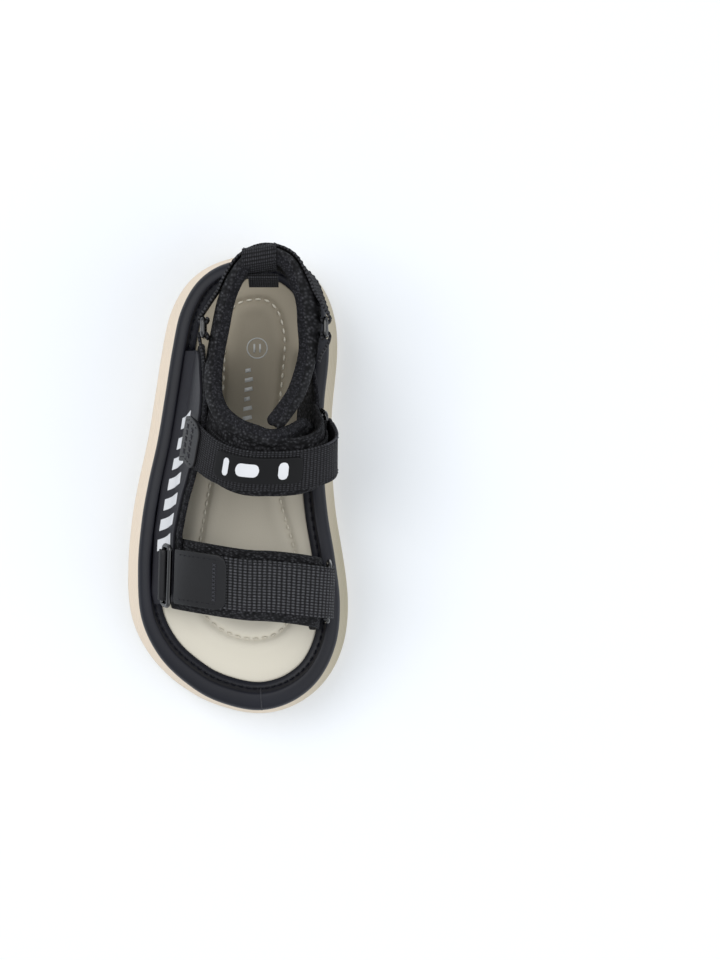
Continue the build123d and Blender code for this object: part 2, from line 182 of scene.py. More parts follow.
def skin(y, turn):
    """The point on the foot at y, at this turn round it."""
    lateral, medial, lean, bulge, rise = foot_row(y)
    middle, half = (lateral + medial) / 2, (medial - lateral) / 2
    angle = math.radians(turn)
    up, run = max(math.sin(angle), 0.0), math.cos(angle)
    if run >= 0:
        across, height = -half * run ** LATERAL_ROUND, up ** LATERAL_ROUND
    else:
        across = half * (-run) ** MEDIAL_ROUND - bulge * math.sin(2 * angle)
        height = up ** (0.5 * (LATERAL_ROUND + MEDIAL_ROUND))
    return Vector((middle + across + lean * up, y, FOOTBED_TOP + rise * height))


def outward(y, turn):
    """The direction straight out of the skin, from two turns close on either side."""
    near = 1.5
    step = skin(y, min(turn + near, 180.0)) - skin(y, max(turn - near, 0.0))
    return Vector((-step.z, 0.0, step.x)).normalized()


def turn_at(y, z, medial=False):
    """The turn at which the skin reaches the height z."""
    share = min(max((z - FOOTBED_TOP) / foot_row(y)[-1], 0.0), 0.999)
    power = 0.5 * (LATERAL_ROUND + MEDIAL_ROUND) if medial else LATERAL_ROUND
    turn = math.degrees(math.asin(share ** (1 / power)))
    return 180.0 - turn if medial else turn


# %% The straps' courses over the foot
FOREFOOT_AT, FOREFOOT_SLANT = (-52.0, -31.0), 4.5           # y of both edges at the ridge
INSTEP_AT, INSTEP_SWEEP = (-2.5, 13.2), (24.0, 26.0)        # and how far each sweeps back to its ends
SWEEP_STOPS = 27.0                                          # turn, from either side


def forefoot_edges(turn):
    slant = FOREFOOT_SLANT * math.cos(math.radians(turn))
    return FOREFOOT_AT[0] + slant, FOREFOOT_AT[1] + slant


def instep_edges(turn):
    turn = min(max(turn, SWEEP_STOPS), 180.0 - SWEEP_STOPS)
    sweep_back = 1 - math.sin(math.radians(turn))
    return INSTEP_AT[0] + INSTEP_SWEEP[0] * sweep_back, INSTEP_AT[1] + INSTEP_SWEEP[1] * sweep_back


def rung(edges, turn, out, toe_margin=0.0, heel_margin=0.0):
    """A line straight across a strap, from its toe-side edge to its heel-side edge."""
    toe_y, heel_y = edges(turn)
    toe, heel = skin(toe_y, turn), skin(heel_y, turn)
    normal = (outward(toe_y, turn) + outward(heel_y, turn)).normalized()
    spread = (heel - toe).normalized()
    return toe - spread * toe_margin + normal * out, heel + spread * heel_margin + normal * out


def rungs_over(edges, first, last, out, steps=40, toe_margin=0.0, heel_margin=0.0):
    turns = [first + (last - first) * i / steps for i in range(steps + 1)]
    return [rung(edges, turn, out, toe_margin, heel_margin) for turn in turns]


FINE = 0.5   # mm between rungs, where a strip's ends are cut round or stitches are placed


def even(rungs, spacing=1.0):
    """The same strip with its rungs evenly spaced along its middle, and its length."""
    middles = [(a + b) * 0.5 for a, b in rungs]
    marks = [0.0]
    for before, after in zip(middles, middles[1:]):
        marks.append(marks[-1] + (after - before).length)
    count = max(int(marks[-1] / spacing), 4)
    spaced, k = [], 0
    for i in range(count + 1):
        goal = marks[-1] * i / count
        while k < len(marks) - 2 and marks[k + 1] < goal:
            k += 1
        share = (goal - marks[k]) / max(marks[k + 1] - marks[k], 1e-9)
        spaced.append(tuple(p.lerp(q, min(share, 1.0)) for p, q in zip(rungs[k], rungs[k + 1])))
    return spaced, marks[-1]


def strip(rungs, steps_v=10, spacing=1.0):
    """A flat strip of webbing or leather laid along rungs."""
    spaced, length = even(rungs, spacing)
    width = (spaced[0][1] - spaced[0][0]).length
    last = len(spaced) - 1

    def place(u, v):
        a, b = spaced[round(u * last)]
        return a.lerp(b, v)

    return grid(last, steps_v, place, length, width)


def wrap_rungs(joint, width, radius, first, last, start_out, down, steps=14):
    """Rungs round a ring's bar, from one angle to another. 0 is outward, 90 is down the strap."""
    bar, along = Vector(JOINTS[joint]["pos_m"]) / MM, Vector(JOINTS[joint]["axis"]).normalized()
    out = (start_out - along * start_out.dot(along)).normalized()
    below = (down - along * down.dot(along)).normalized()
    rungs = []
    for i in range(steps + 1):
        angle = math.radians(first + (last - first) * i / steps)
        centre = bar + (out * math.cos(angle) + below * math.sin(angle)) * radius
        rungs.append((centre - along * width / 2, centre + along * width / 2))
    return rungs


print("the ridge of the foot at y = 0 is", round(skin(0.0, 90.0).z, 1), "mm up")

# %% [markdown]
# ## Materials
# Every pattern is made from maths and noise. A shared effect is a node group with two outputs: a mask
# that mixes two colours and a height for the bump. `material` joins one effect to one shader.

# %% Node helpers
def node(tree, kind, inputs=None, **settings):
    made = tree.nodes.new(kind)
    for key, value in settings.items():
        setattr(made, key, value)
    for key, value in (inputs or {}).items():
        if isinstance(value, bpy.types.NodeSocket):
            tree.links.new(value, made.inputs[key])
        else:
            made.inputs[key].default_value = value
    return made


def maths(tree, operation, a, b=0.0):
    return node(tree, "ShaderNodeMath", {0: a, 1: b}, operation=operation).outputs[0]


def new_effect(name, **numbers):
    """An empty node group with a Vector and some numbers in, and a Mask and a Height out."""
    tree = bpy.data.node_groups.new(name, "ShaderNodeTree")
    tree.interface.new_socket("Vector", in_out="INPUT", socket_type="NodeSocketVector")
    for key, value in numbers.items():
        tree.interface.new_socket(key, in_out="INPUT", socket_type="NodeSocketFloat").default_value = value
    for key in ("Mask", "Height"):
        tree.interface.new_socket(key, in_out="OUTPUT", socket_type="NodeSocketFloat")
    return tree, tree.nodes.new("NodeGroupInput").outputs, tree.nodes.new("NodeGroupOutput").inputs


def give(tree, outputs, mask, height):
    tree.links.new(mask, outputs["Mask"])
    tree.links.new(height, outputs["Height"])
    return tree


def noise(tree, vector, scale, detail=2.0):
    return node(tree, "ShaderNodeTexNoise", {"Vector": vector, "Scale": scale, "Detail": detail}).outputs[0]


# %% [markdown]
# ### Weave, knit, grain and pile
# Webbing is a plain weave: each crossing of two sine waves is one thread's back, and noise wavers it,
# because threads never lie quite straight. The mesh is round cells, ribbed for the binding. Leather,
# foam and rubber share one fine grain with broad blotches, and loop tape is noise raised to a power,
# which leaves stray fibres.

# %% Effect: plain weave, on a UV map in millimetres
WAVER, WAVER_SCALE = 0.4, 0.55          # how far noise pushes the threads, and how fine it is
THREAD_ROUND, THREAD_OVER = 0.6, 0.35   # the shape of a thread's back, and how far one lies over the other


def make_weave():
    tree, given, outputs = new_effect("weave", Along=2.0, Across=1.2)
    noise_node = node(tree, "ShaderNodeTexNoise", {"Vector": given["Vector"], "Scale": WAVER_SCALE})
    pushed = node(tree, "ShaderNodeVectorMath", {0: given["Vector"], 1: noise_node.outputs["Color"]})
    moved = node(tree, "ShaderNodeMix", {0: WAVER, 4: given["Vector"], 5: pushed.outputs[0]},
                 data_type="VECTOR", clamp_factor=False)
    spot = node(tree, "ShaderNodeSeparateXYZ", {0: moved.outputs[1]}).outputs
    waves = []
    for axis, pitch in ((0, "Along"), (1, "Across")):
        turns = maths(tree, "DIVIDE", spot[axis], given[pitch])
        waves.append(maths(tree, "SINE", maths(tree, "MULTIPLY", turns, math.pi)))
    crossing = maths(tree, "MULTIPLY", *waves)
    dome = maths(tree, "POWER", maths(tree, "ABSOLUTE", crossing), THREAD_ROUND)
    over = maths(tree, "MULTIPLY", maths(tree, "GREATER_THAN", crossing, 0.0), THREAD_OVER)
    fuzz = noise(tree, given["Vector"], 1.4, 4.0)
    # The mask lightens each thread's crown: a painted highlight on the dark threads.
    light = maths(tree, "MULTIPLY", maths(tree, "POWER", dome, 2.0), maths(tree, "MULTIPLY", fuzz, 1.1))
    return give(tree, outputs, light, maths(tree, "ADD", dome, over))


# %% Effect: knitted mesh with small holes, on a UV map in millimetres
RIB_TURNS = 2.6   # radians per millimetre along the rib


def make_knit():
    tree, given, outputs = new_effect("knit", Size=1.3, Rib=0.0)
    scale = maths(tree, "DIVIDE", 1.0, given["Size"])
    cells = node(tree, "ShaderNodeTexVoronoi", {"Vector": given["Vector"], "Scale": scale}, feature="F1")
    bump = maths(tree, "SUBTRACT", 1.0, cells.outputs["Distance"])
    spot = node(tree, "ShaderNodeSeparateXYZ", {0: given["Vector"]}).outputs
    wave = maths(tree, "SINE", maths(tree, "MULTIPLY", spot[0], RIB_TURNS))
    rib = maths(tree, "MULTIPLY", maths(tree, "ADD", wave, 1.0), given["Rib"])
    height = maths(tree, "ADD", bump, rib)
    # The mask is light on each cell's crown and darkens into the holes: painted highlight and painted
    # shade.
    light = maths(tree, "MULTIPLY", maths(tree, "POWER", bump, 3.0), noise(tree, given["Vector"], 0.9))
    return give(tree, outputs, light, height)


# %% Effect: fine grain with faint blotches, on Object coordinates, and fades to the heel and medially that are partly painted shade
# The fades darken the footbed towards the heel and the midsole medially: partly painted shade, partly a
# darker tone of each.
FADES = ((1, -0.064, 0.03, "Fade"), (0, 0.012, 0.046, "Medial"))   # axis, start, end in metres, input


def make_grain():
    tree, given, outputs = new_effect("grain", Size=0.6, Blotch=14.0, Fade=0.0, Medial=0.0)
    metres = 1 / MM
    fine = noise(tree, given["Vector"], maths(tree, "DIVIDE", metres, given["Size"]), 3.0)
    broad = noise(tree, given["Vector"], maths(tree, "DIVIDE", metres, given["Blotch"]), 3.0)
    spot = node(tree, "ShaderNodeSeparateXYZ", {0: given["Vector"]}).outputs
    mask, share_left = None, 1.0
    for axis, start, end, key in FADES:
        share = node(tree, "ShaderNodeMapRange", {0: spot[axis], 1: start, 2: end}).outputs[0]
        share = maths(tree, "MULTIPLY", share, given[key])
        mask = share if mask is None else maths(tree, "ADD", mask, share)
        share_left = maths(tree, "SUBTRACT", share_left, given[key])
    mask = maths(tree, "ADD", mask, maths(tree, "MULTIPLY", broad, share_left))
    return give(tree, outputs, mask, fine)


# %% Effect: looped pile with stray light fibres, on Object coordinates
def make_pile():
    tree, given, outputs = new_effect("pile", Size=0.5)
    scale = maths(tree, "DIVIDE", 1 / MM, given["Size"])
    fine = noise(tree, given["Vector"], scale, 5.0)
    strands = maths(tree, "POWER", fine, 3.0)
    return give(tree, outputs, strands, fine)


EFFECTS = {"weave": make_weave(), "knit": make_knit(), "grain": make_grain(), "pile": make_pile()}
print("effects:", sorted(EFFECTS))

# %% [markdown]
# ### One shader per finish
# Each finish is one plain shader. Its two colours are mixed by an effect's mask, and its relief is a
# bump. Cloth is rough with little shine, pressed leather is satin, and only the rings have a glossy
# coat.

# %% Effect and shader together
def srgb(red, green, blue):
    """A colour from 0 to 255 per channel, as the linear colour that a shader takes."""
    return tuple((c / 255) ** 2.2 for c in (red, green, blue)) + (1.0,)


def material(name, colour, second, roughness, effect, relief, place="UV", extra=None, **numbers):
    """A surface of two colours mixed by an effect's mask, with a bump relief mm deep."""
    made = bpy.data.materials.new(name)
    made.use_nodes = True
    tree = made.node_tree
    shader = tree.nodes["Principled BSDF"]
    where = node(tree, "ShaderNodeTexCoord").outputs[place]
    pattern = node(tree, "ShaderNodeGroup", node_tree=EFFECTS[effect])
    tree.links.new(where, pattern.inputs["Vector"])
    for key, value in numbers.items():
        pattern.inputs[key].default_value = value
    mixed = node(tree, "ShaderNodeMix", {0: pattern.outputs["Mask"], 6: srgb(*colour), 7: srgb(*second)},
                 data_type="RGBA")
    bump = node(tree, "ShaderNodeBump", {"Height": pattern.outputs["Height"], "Distance": relief * MM})
    tree.links.new(mixed.outputs[2], shader.inputs["Base Color"])
    tree.links.new(bump.outputs[0], shader.inputs["Normal"])
    shader.inputs["Roughness"].default_value = roughness
    for key, value in (extra or {}).items():
        shader.inputs[key].default_value = value
    return made


DULL, SATIN = {"Specular IOR Level": 0.25}, {"Specular IOR Level": 0.35}
# Darker medially: partly painted shade on the medial wall, partly the foam's own khaki tone.
FOAM = material("foam_cream", (231, 215, 195), (160, 153, 131), 0.75, "grain", 0.06, "Object",
                Blotch=30, Medial=0.85)
RUBBER = material("outsole_rubber", (222, 208, 184), (202, 188, 164), 0.7, "grain", 0.05, "Object")
# Darker towards the heel: partly painted shade, partly a darker greige tone of the cover.
FOOTBED = material("footbed_fabric", (219, 213, 197), (142, 133, 116), 0.65, "grain", 0.06, "Object",
                   DULL, Size=0.5, Blotch=60, Fade=0.85)
# Its navy second colour, in blotches, is partly painted sheen, partly the rim's own blue-black tone.
RIM_SKIN = material("rim_leather", (12, 13, 20), (22, 24, 35), 0.48, "grain", 0.05, "Object",
                    SATIN, Size=0.4, Blotch=25)
OVERLAY_SKIN = material("overlay_leather", (29, 29, 34), (40, 40, 46), 0.55, "grain", 0.04, "Object",
                        SATIN, Size=0.35)
TIP_SKIN = material("tip_leather", (15, 15, 17), (24, 24, 27), 0.45, "grain", 0.06, "Object",
                    {"Specular IOR Level": 0.4}, Size=0.5)
# The webbings' second colour, laid on the threads' crowns, is a painted highlight.
WEBBING = material("webbing_weave", (6, 6, 7), (104, 104, 108), 0.8, "weave", 0.45, "UV", DULL,
                   Along=2.0, Across=1.25)
FINE_WEBBING = material("webbing_fine", (5, 5, 6), (76, 76, 80), 0.8, "weave", 0.35, "UV", DULL,
                        Along=1.5, Across=0.9)
# The second colour of the mesh and the collar knit, laid on the cells' crowns, is a painted highlight.
MESH = material("lining_mesh", (14, 14, 16), (104, 104, 108), 0.85, "knit", 0.45, "UV", DULL, Size=1.3)
RIB_KNIT = material("collar_knit", (20, 20, 23), (90, 90, 96), 0.9, "knit", 0.5, "UV", DULL,
                    Size=0.9, Rib=0.6)
PILE = material("loop_pile", (8, 8, 9), (46, 46, 48), 0.95, "pile", 0.3, "Object", DULL)
PATCH_SKIN = material("moulded_patch", (10, 10, 12), (16, 16, 18), 0.5, "grain", 0.03, "Object", DULL)
GLOSS = material("gloss_plastic", (8, 8, 9), (11, 11, 12), 0.16, "grain", 0.004, "Object",
                 {"Coat Weight": 0.6, "Coat Roughness": 0.08})
PRINT = material("white_print", (226, 227, 229), (208, 209, 211), 0.55, "grain", 0.02, "Object")
SILVER = material("silver_print", (206, 206, 202), (184, 184, 180), 0.4, "grain", 0.02, "Object")
PALE_THREAD = material("pale_thread", (206, 200, 184), (176, 170, 154), 0.7, "pile", 0.05, "Object")
DARK_THREAD = material("dark_thread", (18, 18, 21), (74, 74, 80), 0.6, "pile", 0.05, "Object", DULL)
GREY_THREAD = material("grey_thread", (44, 44, 48), (96, 96, 102), 0.6, "pile", 0.05, "Object", DULL)
BOARD = material("fibre_board", (160, 140, 110), (140, 122, 96), 0.9, "grain", 0.05, "Object")
print(len(bpy.data.materials), "materials")

# %% The hidden and the hard pieces keep their CAD shape
def repaint(paint, *nodes):
    """Give CAD nodes that stay as they are a better finish."""
    for name in nodes:
        mesh = frame["nodes"][name].data
        mesh.materials.clear()
        mesh.materials.append(paint)


repaint(RUBBER, "outsole")
repaint(BOARD, "insole_board")
repaint(FOAM, "footbed_foam", "rim_filler")
repaint(PILE, "forefoot_loop_tape", "instep_loop_tape", "forefoot_hook_tape", "instep_hook_tape")
repaint(GLOSS, "forefoot_medial_ring", "instep_medial_ring", "forefoot_lateral_ring",
        "heel_ring_lateral", "heel_ring_medial")

# %% [markdown]
# ## The sole
# One outline, the outer edge of the rim, drives the whole sole. The foam wall flares out below it, the
# padded rim rolls over it, and the footbed fills it. Each is one section carried round the outline.

# %% The outline
RIM_OUTLINE = [
    (10, 95), (-5, 92.8), (-16, 85.5), (-23.2, 73), (-26.8, 57), (-29.8, 38), (-33, 18.7), (-36.9, 1),
    (-39.8, -16), (-41.3, -36), (-39.7, -56.8), (-31.3, -73.6), (-17.4, -86.2), (-4, -92.6), (10.7, -95),
    (24.4, -91), (35.4, -81.5), (42.2, -67), (43.9, -50), (41.9, -31.7), (38.7, -12), (37.1, 8),
    (37.1, 32), (39.2, 54), (38.4, 70), (33, 83.5), (23, 92.2),
]
RIM = Line(RIM_OUTLINE, closed=True)
FLARE = (5.6, 3.1, 2.8, 2.8)        # lateral, medial, toe, heel
RIM_WIDTH = (9.4, 9.4, 11.8, 8.0)   # in the same order
OUTSOLE_THICK, WALL_TOP, RECESS_FLOOR = 5.0, 24.0, 20.0


def by_side(out, amounts):
    """An amount that differs by side, for the outward direction out."""
    lateral, medial, toe, heel = amounts
    return (lateral if out.x < 0 else medial) * out.x ** 2 + (toe if out.y < 0 else heel) * out.y ** 2


def rim_out(distance):
    """Straight out of the outline, level, at this distance round it."""
    along = RIM.along(distance, 2.0)
    return Vector((along.y, -along.x, 0.0))


def round_rim(section, steps_u, steps_v, size_v):
    """A ring round the outline. section(v, out) gives how far out, in mm, and how high."""
    distances = [RIM.length * i / steps_u for i in range(steps_u + 1)]
    spots = [(RIM.at(distance), rim_out(distance)) for distance in distances]

    def place(u, v):
        spot, out = spots[round(u * steps_u)]
        reach, height = section(v, out)
        return spot + out * reach + Vector((0, 0, height))

    return grid(steps_u, steps_v, place, RIM.length, size_v, closed=True)


# %% [markdown]
# ### The midsole
# On the real sandal this is one moulded block of foam with lengthwise grooves. A cube could be cut to
# shape, but a section carried round the outline gives the flare, the grooves and the recess in one
# closed ring.

# %% The midsole, with its lengthwise grooves
GROOVES = (8.5, 11.5, 14.5, 17.5, 20.5)   # heights
GROOVE_DEPTH, GROOVE_HALF = 0.8, 0.6
WALL_SHARE, LEDGE_SHARE = 0.8, 0.1        # of the section; the rest is the recess's side
FLARE_CURVE, LEDGE_IN, RECESS_CLEARANCE = 1.15, 0.6, 0.2


def midsole_section(v, out):
    if v <= WALL_SHARE:
        share = v / WALL_SHARE
        height = OUTSOLE_THICK + (WALL_TOP - OUTSOLE_THICK) * share
        reach = by_side(out, FLARE) * (1 - share) ** FLARE_CURVE - LEDGE_IN * share
        cut = max(1 - abs(height - groove) / GROOVE_HALF for groove in GROOVES)
        return reach - GROOVE_DEPTH * max(cut, 0.0), height
    inner = -by_side(out, RIM_WIDTH) - RECESS_CLEARANCE
    ledge_end = WALL_SHARE + LEDGE_SHARE
    if v <= ledge_end:
        return -LEDGE_IN + (inner + LEDGE_IN) * (v - WALL_SHARE) / LEDGE_SHARE, WALL_TOP
    return inner, WALL_TOP + (RECESS_FLOOR - WALL_TOP) * (v - ledge_end) / LEDGE_SHARE


piece("midsole_foam", round_rim(midsole_section, 360, 100, 40), "sandal", FOAM, ["midsole"])
print("midsole made, with", len(GROOVES), "grooves")

# %% [markdown]
# ### The rim
# A padded strip is stitched along its inner flange and rolled over a foam cord. Its section is a few
# points with a smooth line through them, and the threads are small stretched spheres laid along the
# flange.

# %% The rolled rim and its flange
RIM_SECTION = Line([
    (-1.0, 0.0, 26.3), (-1.0, 0.1, 26.9), (-1.0, 1.4, 27.7), (-1.0, 2.5, 28.0), (-1.0, 3.3, 29.2),
    (-0.5, -0.6, 30.8), (0.0, -1.8, 30.3), (0.0, -0.2, 28.0), (0.0, -0.4, 25.4), (0.0, -1.6, 24.1),
    (-0.5, 0.0, 24.1), (-1.0, 2.8, 25.6),
], closed=True, steps=6)   # share of the rim's width, mm out, height


def rim_section(v, out):
    share, reach, height = RIM_SECTION.at(v * RIM_SECTION.length)
    return share * by_side(out, RIM_WIDTH) + reach, height


rim = piece("rim_roll", round_rim(rim_section, 360, 56, 36), "sandal", RIM_SKIN, ["rim_binding"])
print("rim", round(RIM.length), "mm round")


# %% Stitches, and the rim's
def oriented(centre, along, out):
    """A place for a small part: x along, z out."""
    side = out.cross(along).normalized()
    turn = Matrix((along, side, along.cross(side))).transposed().to_4x4()
    return Matrix.Translation(centre * MM) @ turn


def stitches(name, spots, body, paint, length=2.3, radius=0.35):
    """Short threads lying on a surface, one per (centre, along, out)."""
    bm = bmesh.new()
    bm.loops.layers.uv.new("UVMap")
    size = Matrix.Diagonal((length / 2 * MM, radius * MM, radius * MM, 1.0))
    for centre, along, out in spots:
        bmesh.ops.create_uvsphere(bm, u_segments=6, v_segments=4, radius=1.0,
                                  matrix=oriented(centre, along, out) @ size)
    piece(name, bm, body, paint)


UP = Vector((0, 0, 1))
STITCH = 3.8                            # one stitch and its gap, in the rim and the footbed
FLANGE_SEAM, FLANGE_TOP = 2.2, 28.15    # the seam's distance from the rim's inner edge, and its height
rim_count = round(RIM.length / STITCH)
pitch = RIM.length / rim_count
rim_spots = []
for i in range(rim_count):
    out = rim_out(i * pitch)
    inward = by_side(out, RIM_WIDTH) - FLANGE_SEAM
    rim_spots.append((RIM.at(i * pitch) - out * inward + UP * FLANGE_TOP, RIM.along(i * pitch), UP))
stitches("rim_stitches", rim_spots, "sandal", DARK_THREAD)
print(len(rim_spots), "rim stitches")

# %% [markdown]
# ## The footbed
# A cushioned cover with one stitched channel, shaped like a footprint. The cover is a grid laid between
# the two sides of the outline. Its height falls into the channel and crowns on both sides of it.

# %% The channel and the cover
CHANNEL = Line([
    (9.3, 78), (1.5, 76.5), (-2.5, 72), (-4.5, 60), (-5.5, 40), (-8, 20), (-11, 0), (-14.5, -20),
    (-16.5, -38), (-14, -53), (-7.5, -60), (1, -64), (9.6, -64.8), (18, -62), (24, -54), (26, -40),
    (24, -25), (19.5, -10), (17, 5), (17.5, 25), (19.5, 45), (20.5, 60), (18.5, 71), (14.5, 76.5),
], closed=True)


def tree_of(points):
    """A search tree that finds the nearest of these points."""
    tree = KDTree(len(points))
    for i, point in enumerate(points):
        tree.insert(point, i)
    tree.balance()
    return tree


CHANNEL_TREE = tree_of(CHANNEL.points)
INNER_EDGE, EDGE_STEPS, TUCK = [], 720, 0.9   # the cover's edge is tucked under the rim's
for i in range(EDGE_STEPS):
    out = rim_out(RIM.length * i / EDGE_STEPS)
    INNER_EDGE.append(RIM.at(RIM.length * i / EDGE_STEPS) - out * (by_side(out, RIM_WIDTH) - TUCK))
EDGE_TREE = tree_of(INNER_EDGE)


def inside(loop, x, y):
    """Even-odd test of a point against a closed loop."""
    odd = False
    for a, b in zip(loop, loop[1:] + loop[:1]):
        if (a.y > y) != (b.y > y) and x < a.x + (y - a.y) / (b.y - a.y) * (b.x - a.x):
            odd = not odd
    return odd


COVER_EDGE = 25.7                                 # height of the cover where it meets the rim
CHANNEL_DEPTH, PUCKER, CHANNEL_HALF = 1.0, 0.5, 1.2
SWELL, SWELL_AWAY, SWELL_SPREAD = 0.7, 4.0, 3.0   # the cushion beside the channel
CROWN, CROWN_SPREAD = 0.9, 3.0
DISH_INSIDE, DISH_OUTSIDE, DISH_SPREAD = 1.3, 0.2, 6.0


def footbed_height(x, y, within):
    """The height of the cover. It puckers at each stitch of the channel, and is dished within it."""
    spot = Vector((x, y, 0.0))
    _, mark, gap = CHANNEL_TREE.find(spot)
    _, _, edge = EDGE_TREE.find(spot)
    scallop = 0.5 + 0.5 * math.cos(2 * math.pi * CHANNEL.marks[mark] / STITCH)
    channel = (CHANNEL_DEPTH + PUCKER * scallop) * math.exp(-(gap / CHANNEL_HALF) ** 2)
    swell = SWELL * math.exp(-((gap - SWELL_AWAY) / SWELL_SPREAD) ** 2)
    crown = CROWN * (1 - math.exp(-edge / CROWN_SPREAD))
    dish = DISH_INSIDE if within else DISH_OUTSIDE
    return COVER_EDGE + crown + swell - channel - dish * (1 - math.exp(-gap / DISH_SPREAD))


def crossings(loop, y):
    """The x of both sides of a closed loop at y."""
    xs = [a.x + (y - a.y) / (b.y - a.y) * (b.x - a.x)
          for a, b in zip(loop, loop[1:] + loop[:1]) if (a.y > y) != (b.y > y)]
    return min(xs), max(xs)


LOW_Y, HIGH_Y = min(p.y for p in INNER_EDGE) + 0.02, max(p.y for p in INNER_EDGE) - 0.02


def footbed_place(u, v):
    """A point of the cover. The grid's lines crowd together towards its edges."""
    y = (LOW_Y + HIGH_Y) / 2 - math.cos(math.pi * v) * (HIGH_Y - LOW_Y) / 2
    left, right = crossings(INNER_EDGE, y)
    crowded = 0.5 - 0.5 * math.cos(math.pi * u)
    x = left + (right - left) * (0.6 * u + 0.4 * crowded)
    return Vector((x, y, footbed_height(x, y, inside(CHANNEL.points, x, y))))


cover = piece("footbed_cushion", grid(90, 230, footbed_place, 70, 170), "sandal", FOOTBED,
              ["footbed_cover"])
solid = cover.modifiers.new("thickness", "SOLIDIFY")
solid.thickness, solid.offset = 0.5 * MM, -1.0
print("footbed from y", round(LOW_Y, 1), "to", round(HIGH_Y, 1))

# %% The channel's thread
THREAD_LIFT = 0.5
count = round(CHANNEL.length / STITCH)
channel_spots = []
for i in range(count):
    centre = CHANNEL.at(i * CHANNEL.length / count)
    centre.z = footbed_height(centre.x, centre.y, True) + THREAD_LIFT
    channel_spots.append((centre, CHANNEL.along(i * CHANNEL.length / count), UP))
stitches("footbed_stitches", channel_spots, "sandal", PALE_THREAD, 2.7, 0.5)
print(count, "footbed stitches")


# %% [markdown]
# ### The marks on the footbed
# A printer would lay a thin film of ink. Thin bars on the surface do the same, and they are real
# shapes, so they stay in the model wherever it goes. Each bar takes its own height, because the footbed
# isn't flat.

# %% Plain printed marks on the footbed
def flat_bar(bm, centre, long, wide, height, turn=0.0):
    """A thin printed bar, long along y before it is turned."""
    place = Matrix.Translation(centre * MM) @ Matrix.Rotation(turn, 4, "Z")
    size = Matrix.Diagonal((wide * MM, long * MM, height * MM, 1.0))
    bmesh.ops.create_cube(bm, size=1.0, matrix=place @ size)


def on_footbed(x, y):
    return Vector((x, y, footbed_height(x, y, True)))


ROW_X, ROW_LEAN, ROW_TURN = 3.5, 0.03, math.radians(12)
RING_MARK, RING_RADIUS, RING_BARS = (8.9, 57.4), 4.2, 48
bm = bmesh.new()
bm.loops.layers.uv.new("UVMap")
for i, y in enumerate(range(12, 50, 4)):
    flat_bar(bm, on_footbed(ROW_X + ROW_LEAN * y, y), 1.6, 4.6 if i % 3 else 2.6, 0.16, ROW_TURN)
middle = on_footbed(*RING_MARK)
for i in range(RING_BARS):
    angle = 2 * math.pi * i / RING_BARS
    spot = middle + Vector((math.cos(angle), math.sin(angle), 0)) * RING_RADIUS
    flat_bar(bm, on_footbed(spot.x, spot.y), 0.6, 0.5, 0.24, angle)
for shift in (-1.2, 1.2):
    flat_bar(bm, middle + Vector((shift, 0, 0)), 3.6, 0.8, 0.2)
piece("footbed_marks", bm, "sandal", SILVER)
print("footbed marks made")

# %% [markdown]
# ## The upper
# The padded bands lie on the foot. Cloth simulation fills them: each starts as a flat closed form, is
# held along its seams, and is blown up a little. The form is simulated twenty times larger, because the
# solver is made for larger things, and no point may move further than `cap`.

# %% Padded bands and rolls
def normals_of(spaced):
    """Straight out of a strip, at each of its rungs."""
    found = []
    for i, (a, b) in enumerate(spaced):
        before, after = spaced[max(i - 1, 0)], spaced[min(i + 1, len(spaced) - 1)]
        along = (after[0] + after[1] - before[0] - before[1]).normalized()
        found.append(along.cross(b - a).normalized())
    return found


def pad(rungs, thickness, spacing=1.6, around=36, square=0.5):
    """A closed padded form along rungs. square is 1 for an ellipse and less for a boxier edge."""
    spaced, length = even(rungs, spacing)
    normals, last = normals_of(spaced), len(spaced) - 1
    width = (spaced[0][1] - spaced[0][0]).length

    def place(u, v):
        (a, b), normal = spaced[round(u * last)], normals[round(u * last)]
        across, lift = -math.cos(2 * math.pi * v), math.sin(2 * math.pi * v)
        across = 0.5 + 0.5 * math.copysign(abs(across) ** square, across)
        return a.lerp(b, across) + normal * math.copysign(abs(lift) ** square, lift) * thickness / 2

    return grid(last, around, place, length, width * 2, closed=True)


PRESSURE, LARGER, CLOTH_FRAMES = 4.0, 20.0, 20


def puff(obj, seams, cap):
    """Blow a closed form up with Blender's cloth, holding the seam points, and keep the result."""
    held = obj.vertex_groups.new(name="sewn")
    held.add(seams, 1.0, "REPLACE")
    rest = [vert.co.copy() for vert in obj.data.vertices]
    for vert in obj.data.vertices:
        vert.co *= LARGER
    cloth = obj.modifiers.new("cloth", "CLOTH")
    cloth.settings.quality = 5
    cloth.settings.mass = 0.3
    cloth.settings.use_pressure = True
    cloth.settings.uniform_pressure_force = PRESSURE
    cloth.settings.vertex_group_mass = "sewn"
    cloth.settings.effector_weights.gravity = 0.0
    for step in range(1, CLOTH_FRAMES + 1):
        scene.frame_set(step)
    seen = obj.evaluated_get(bpy.context.evaluated_depsgraph_get())
    blown = [vert.co / LARGER for vert in seen.data.vertices]
    obj.modifiers.remove(cloth)
    obj.vertex_groups.remove(held)
    for vert, start, end in zip(obj.data.vertices, rest, blown):
        move = end - start
        vert.co = start + move * min(1.0, cap * MM / max(move.length, 1e-9))
    scene.frame_set(1)
    soften = obj.modifiers.new("subdivide", "SUBSURF")
    soften.levels = soften.render_levels = 1


def seam_points(obj, rungs, reach):
    """Points of a band that lie near its two edges or its two ends."""
    lines = [pair[i] for i in (0, 1) for pair in rungs]
    lines += [rungs[end][0].lerp(rungs[end][1], k / 12) for end in (0, -1) for k in range(13)]
    near = tree_of(lines)
    return [vert.index for vert in obj.data.vertices if near.find(vert.co / MM)[2] < reach]


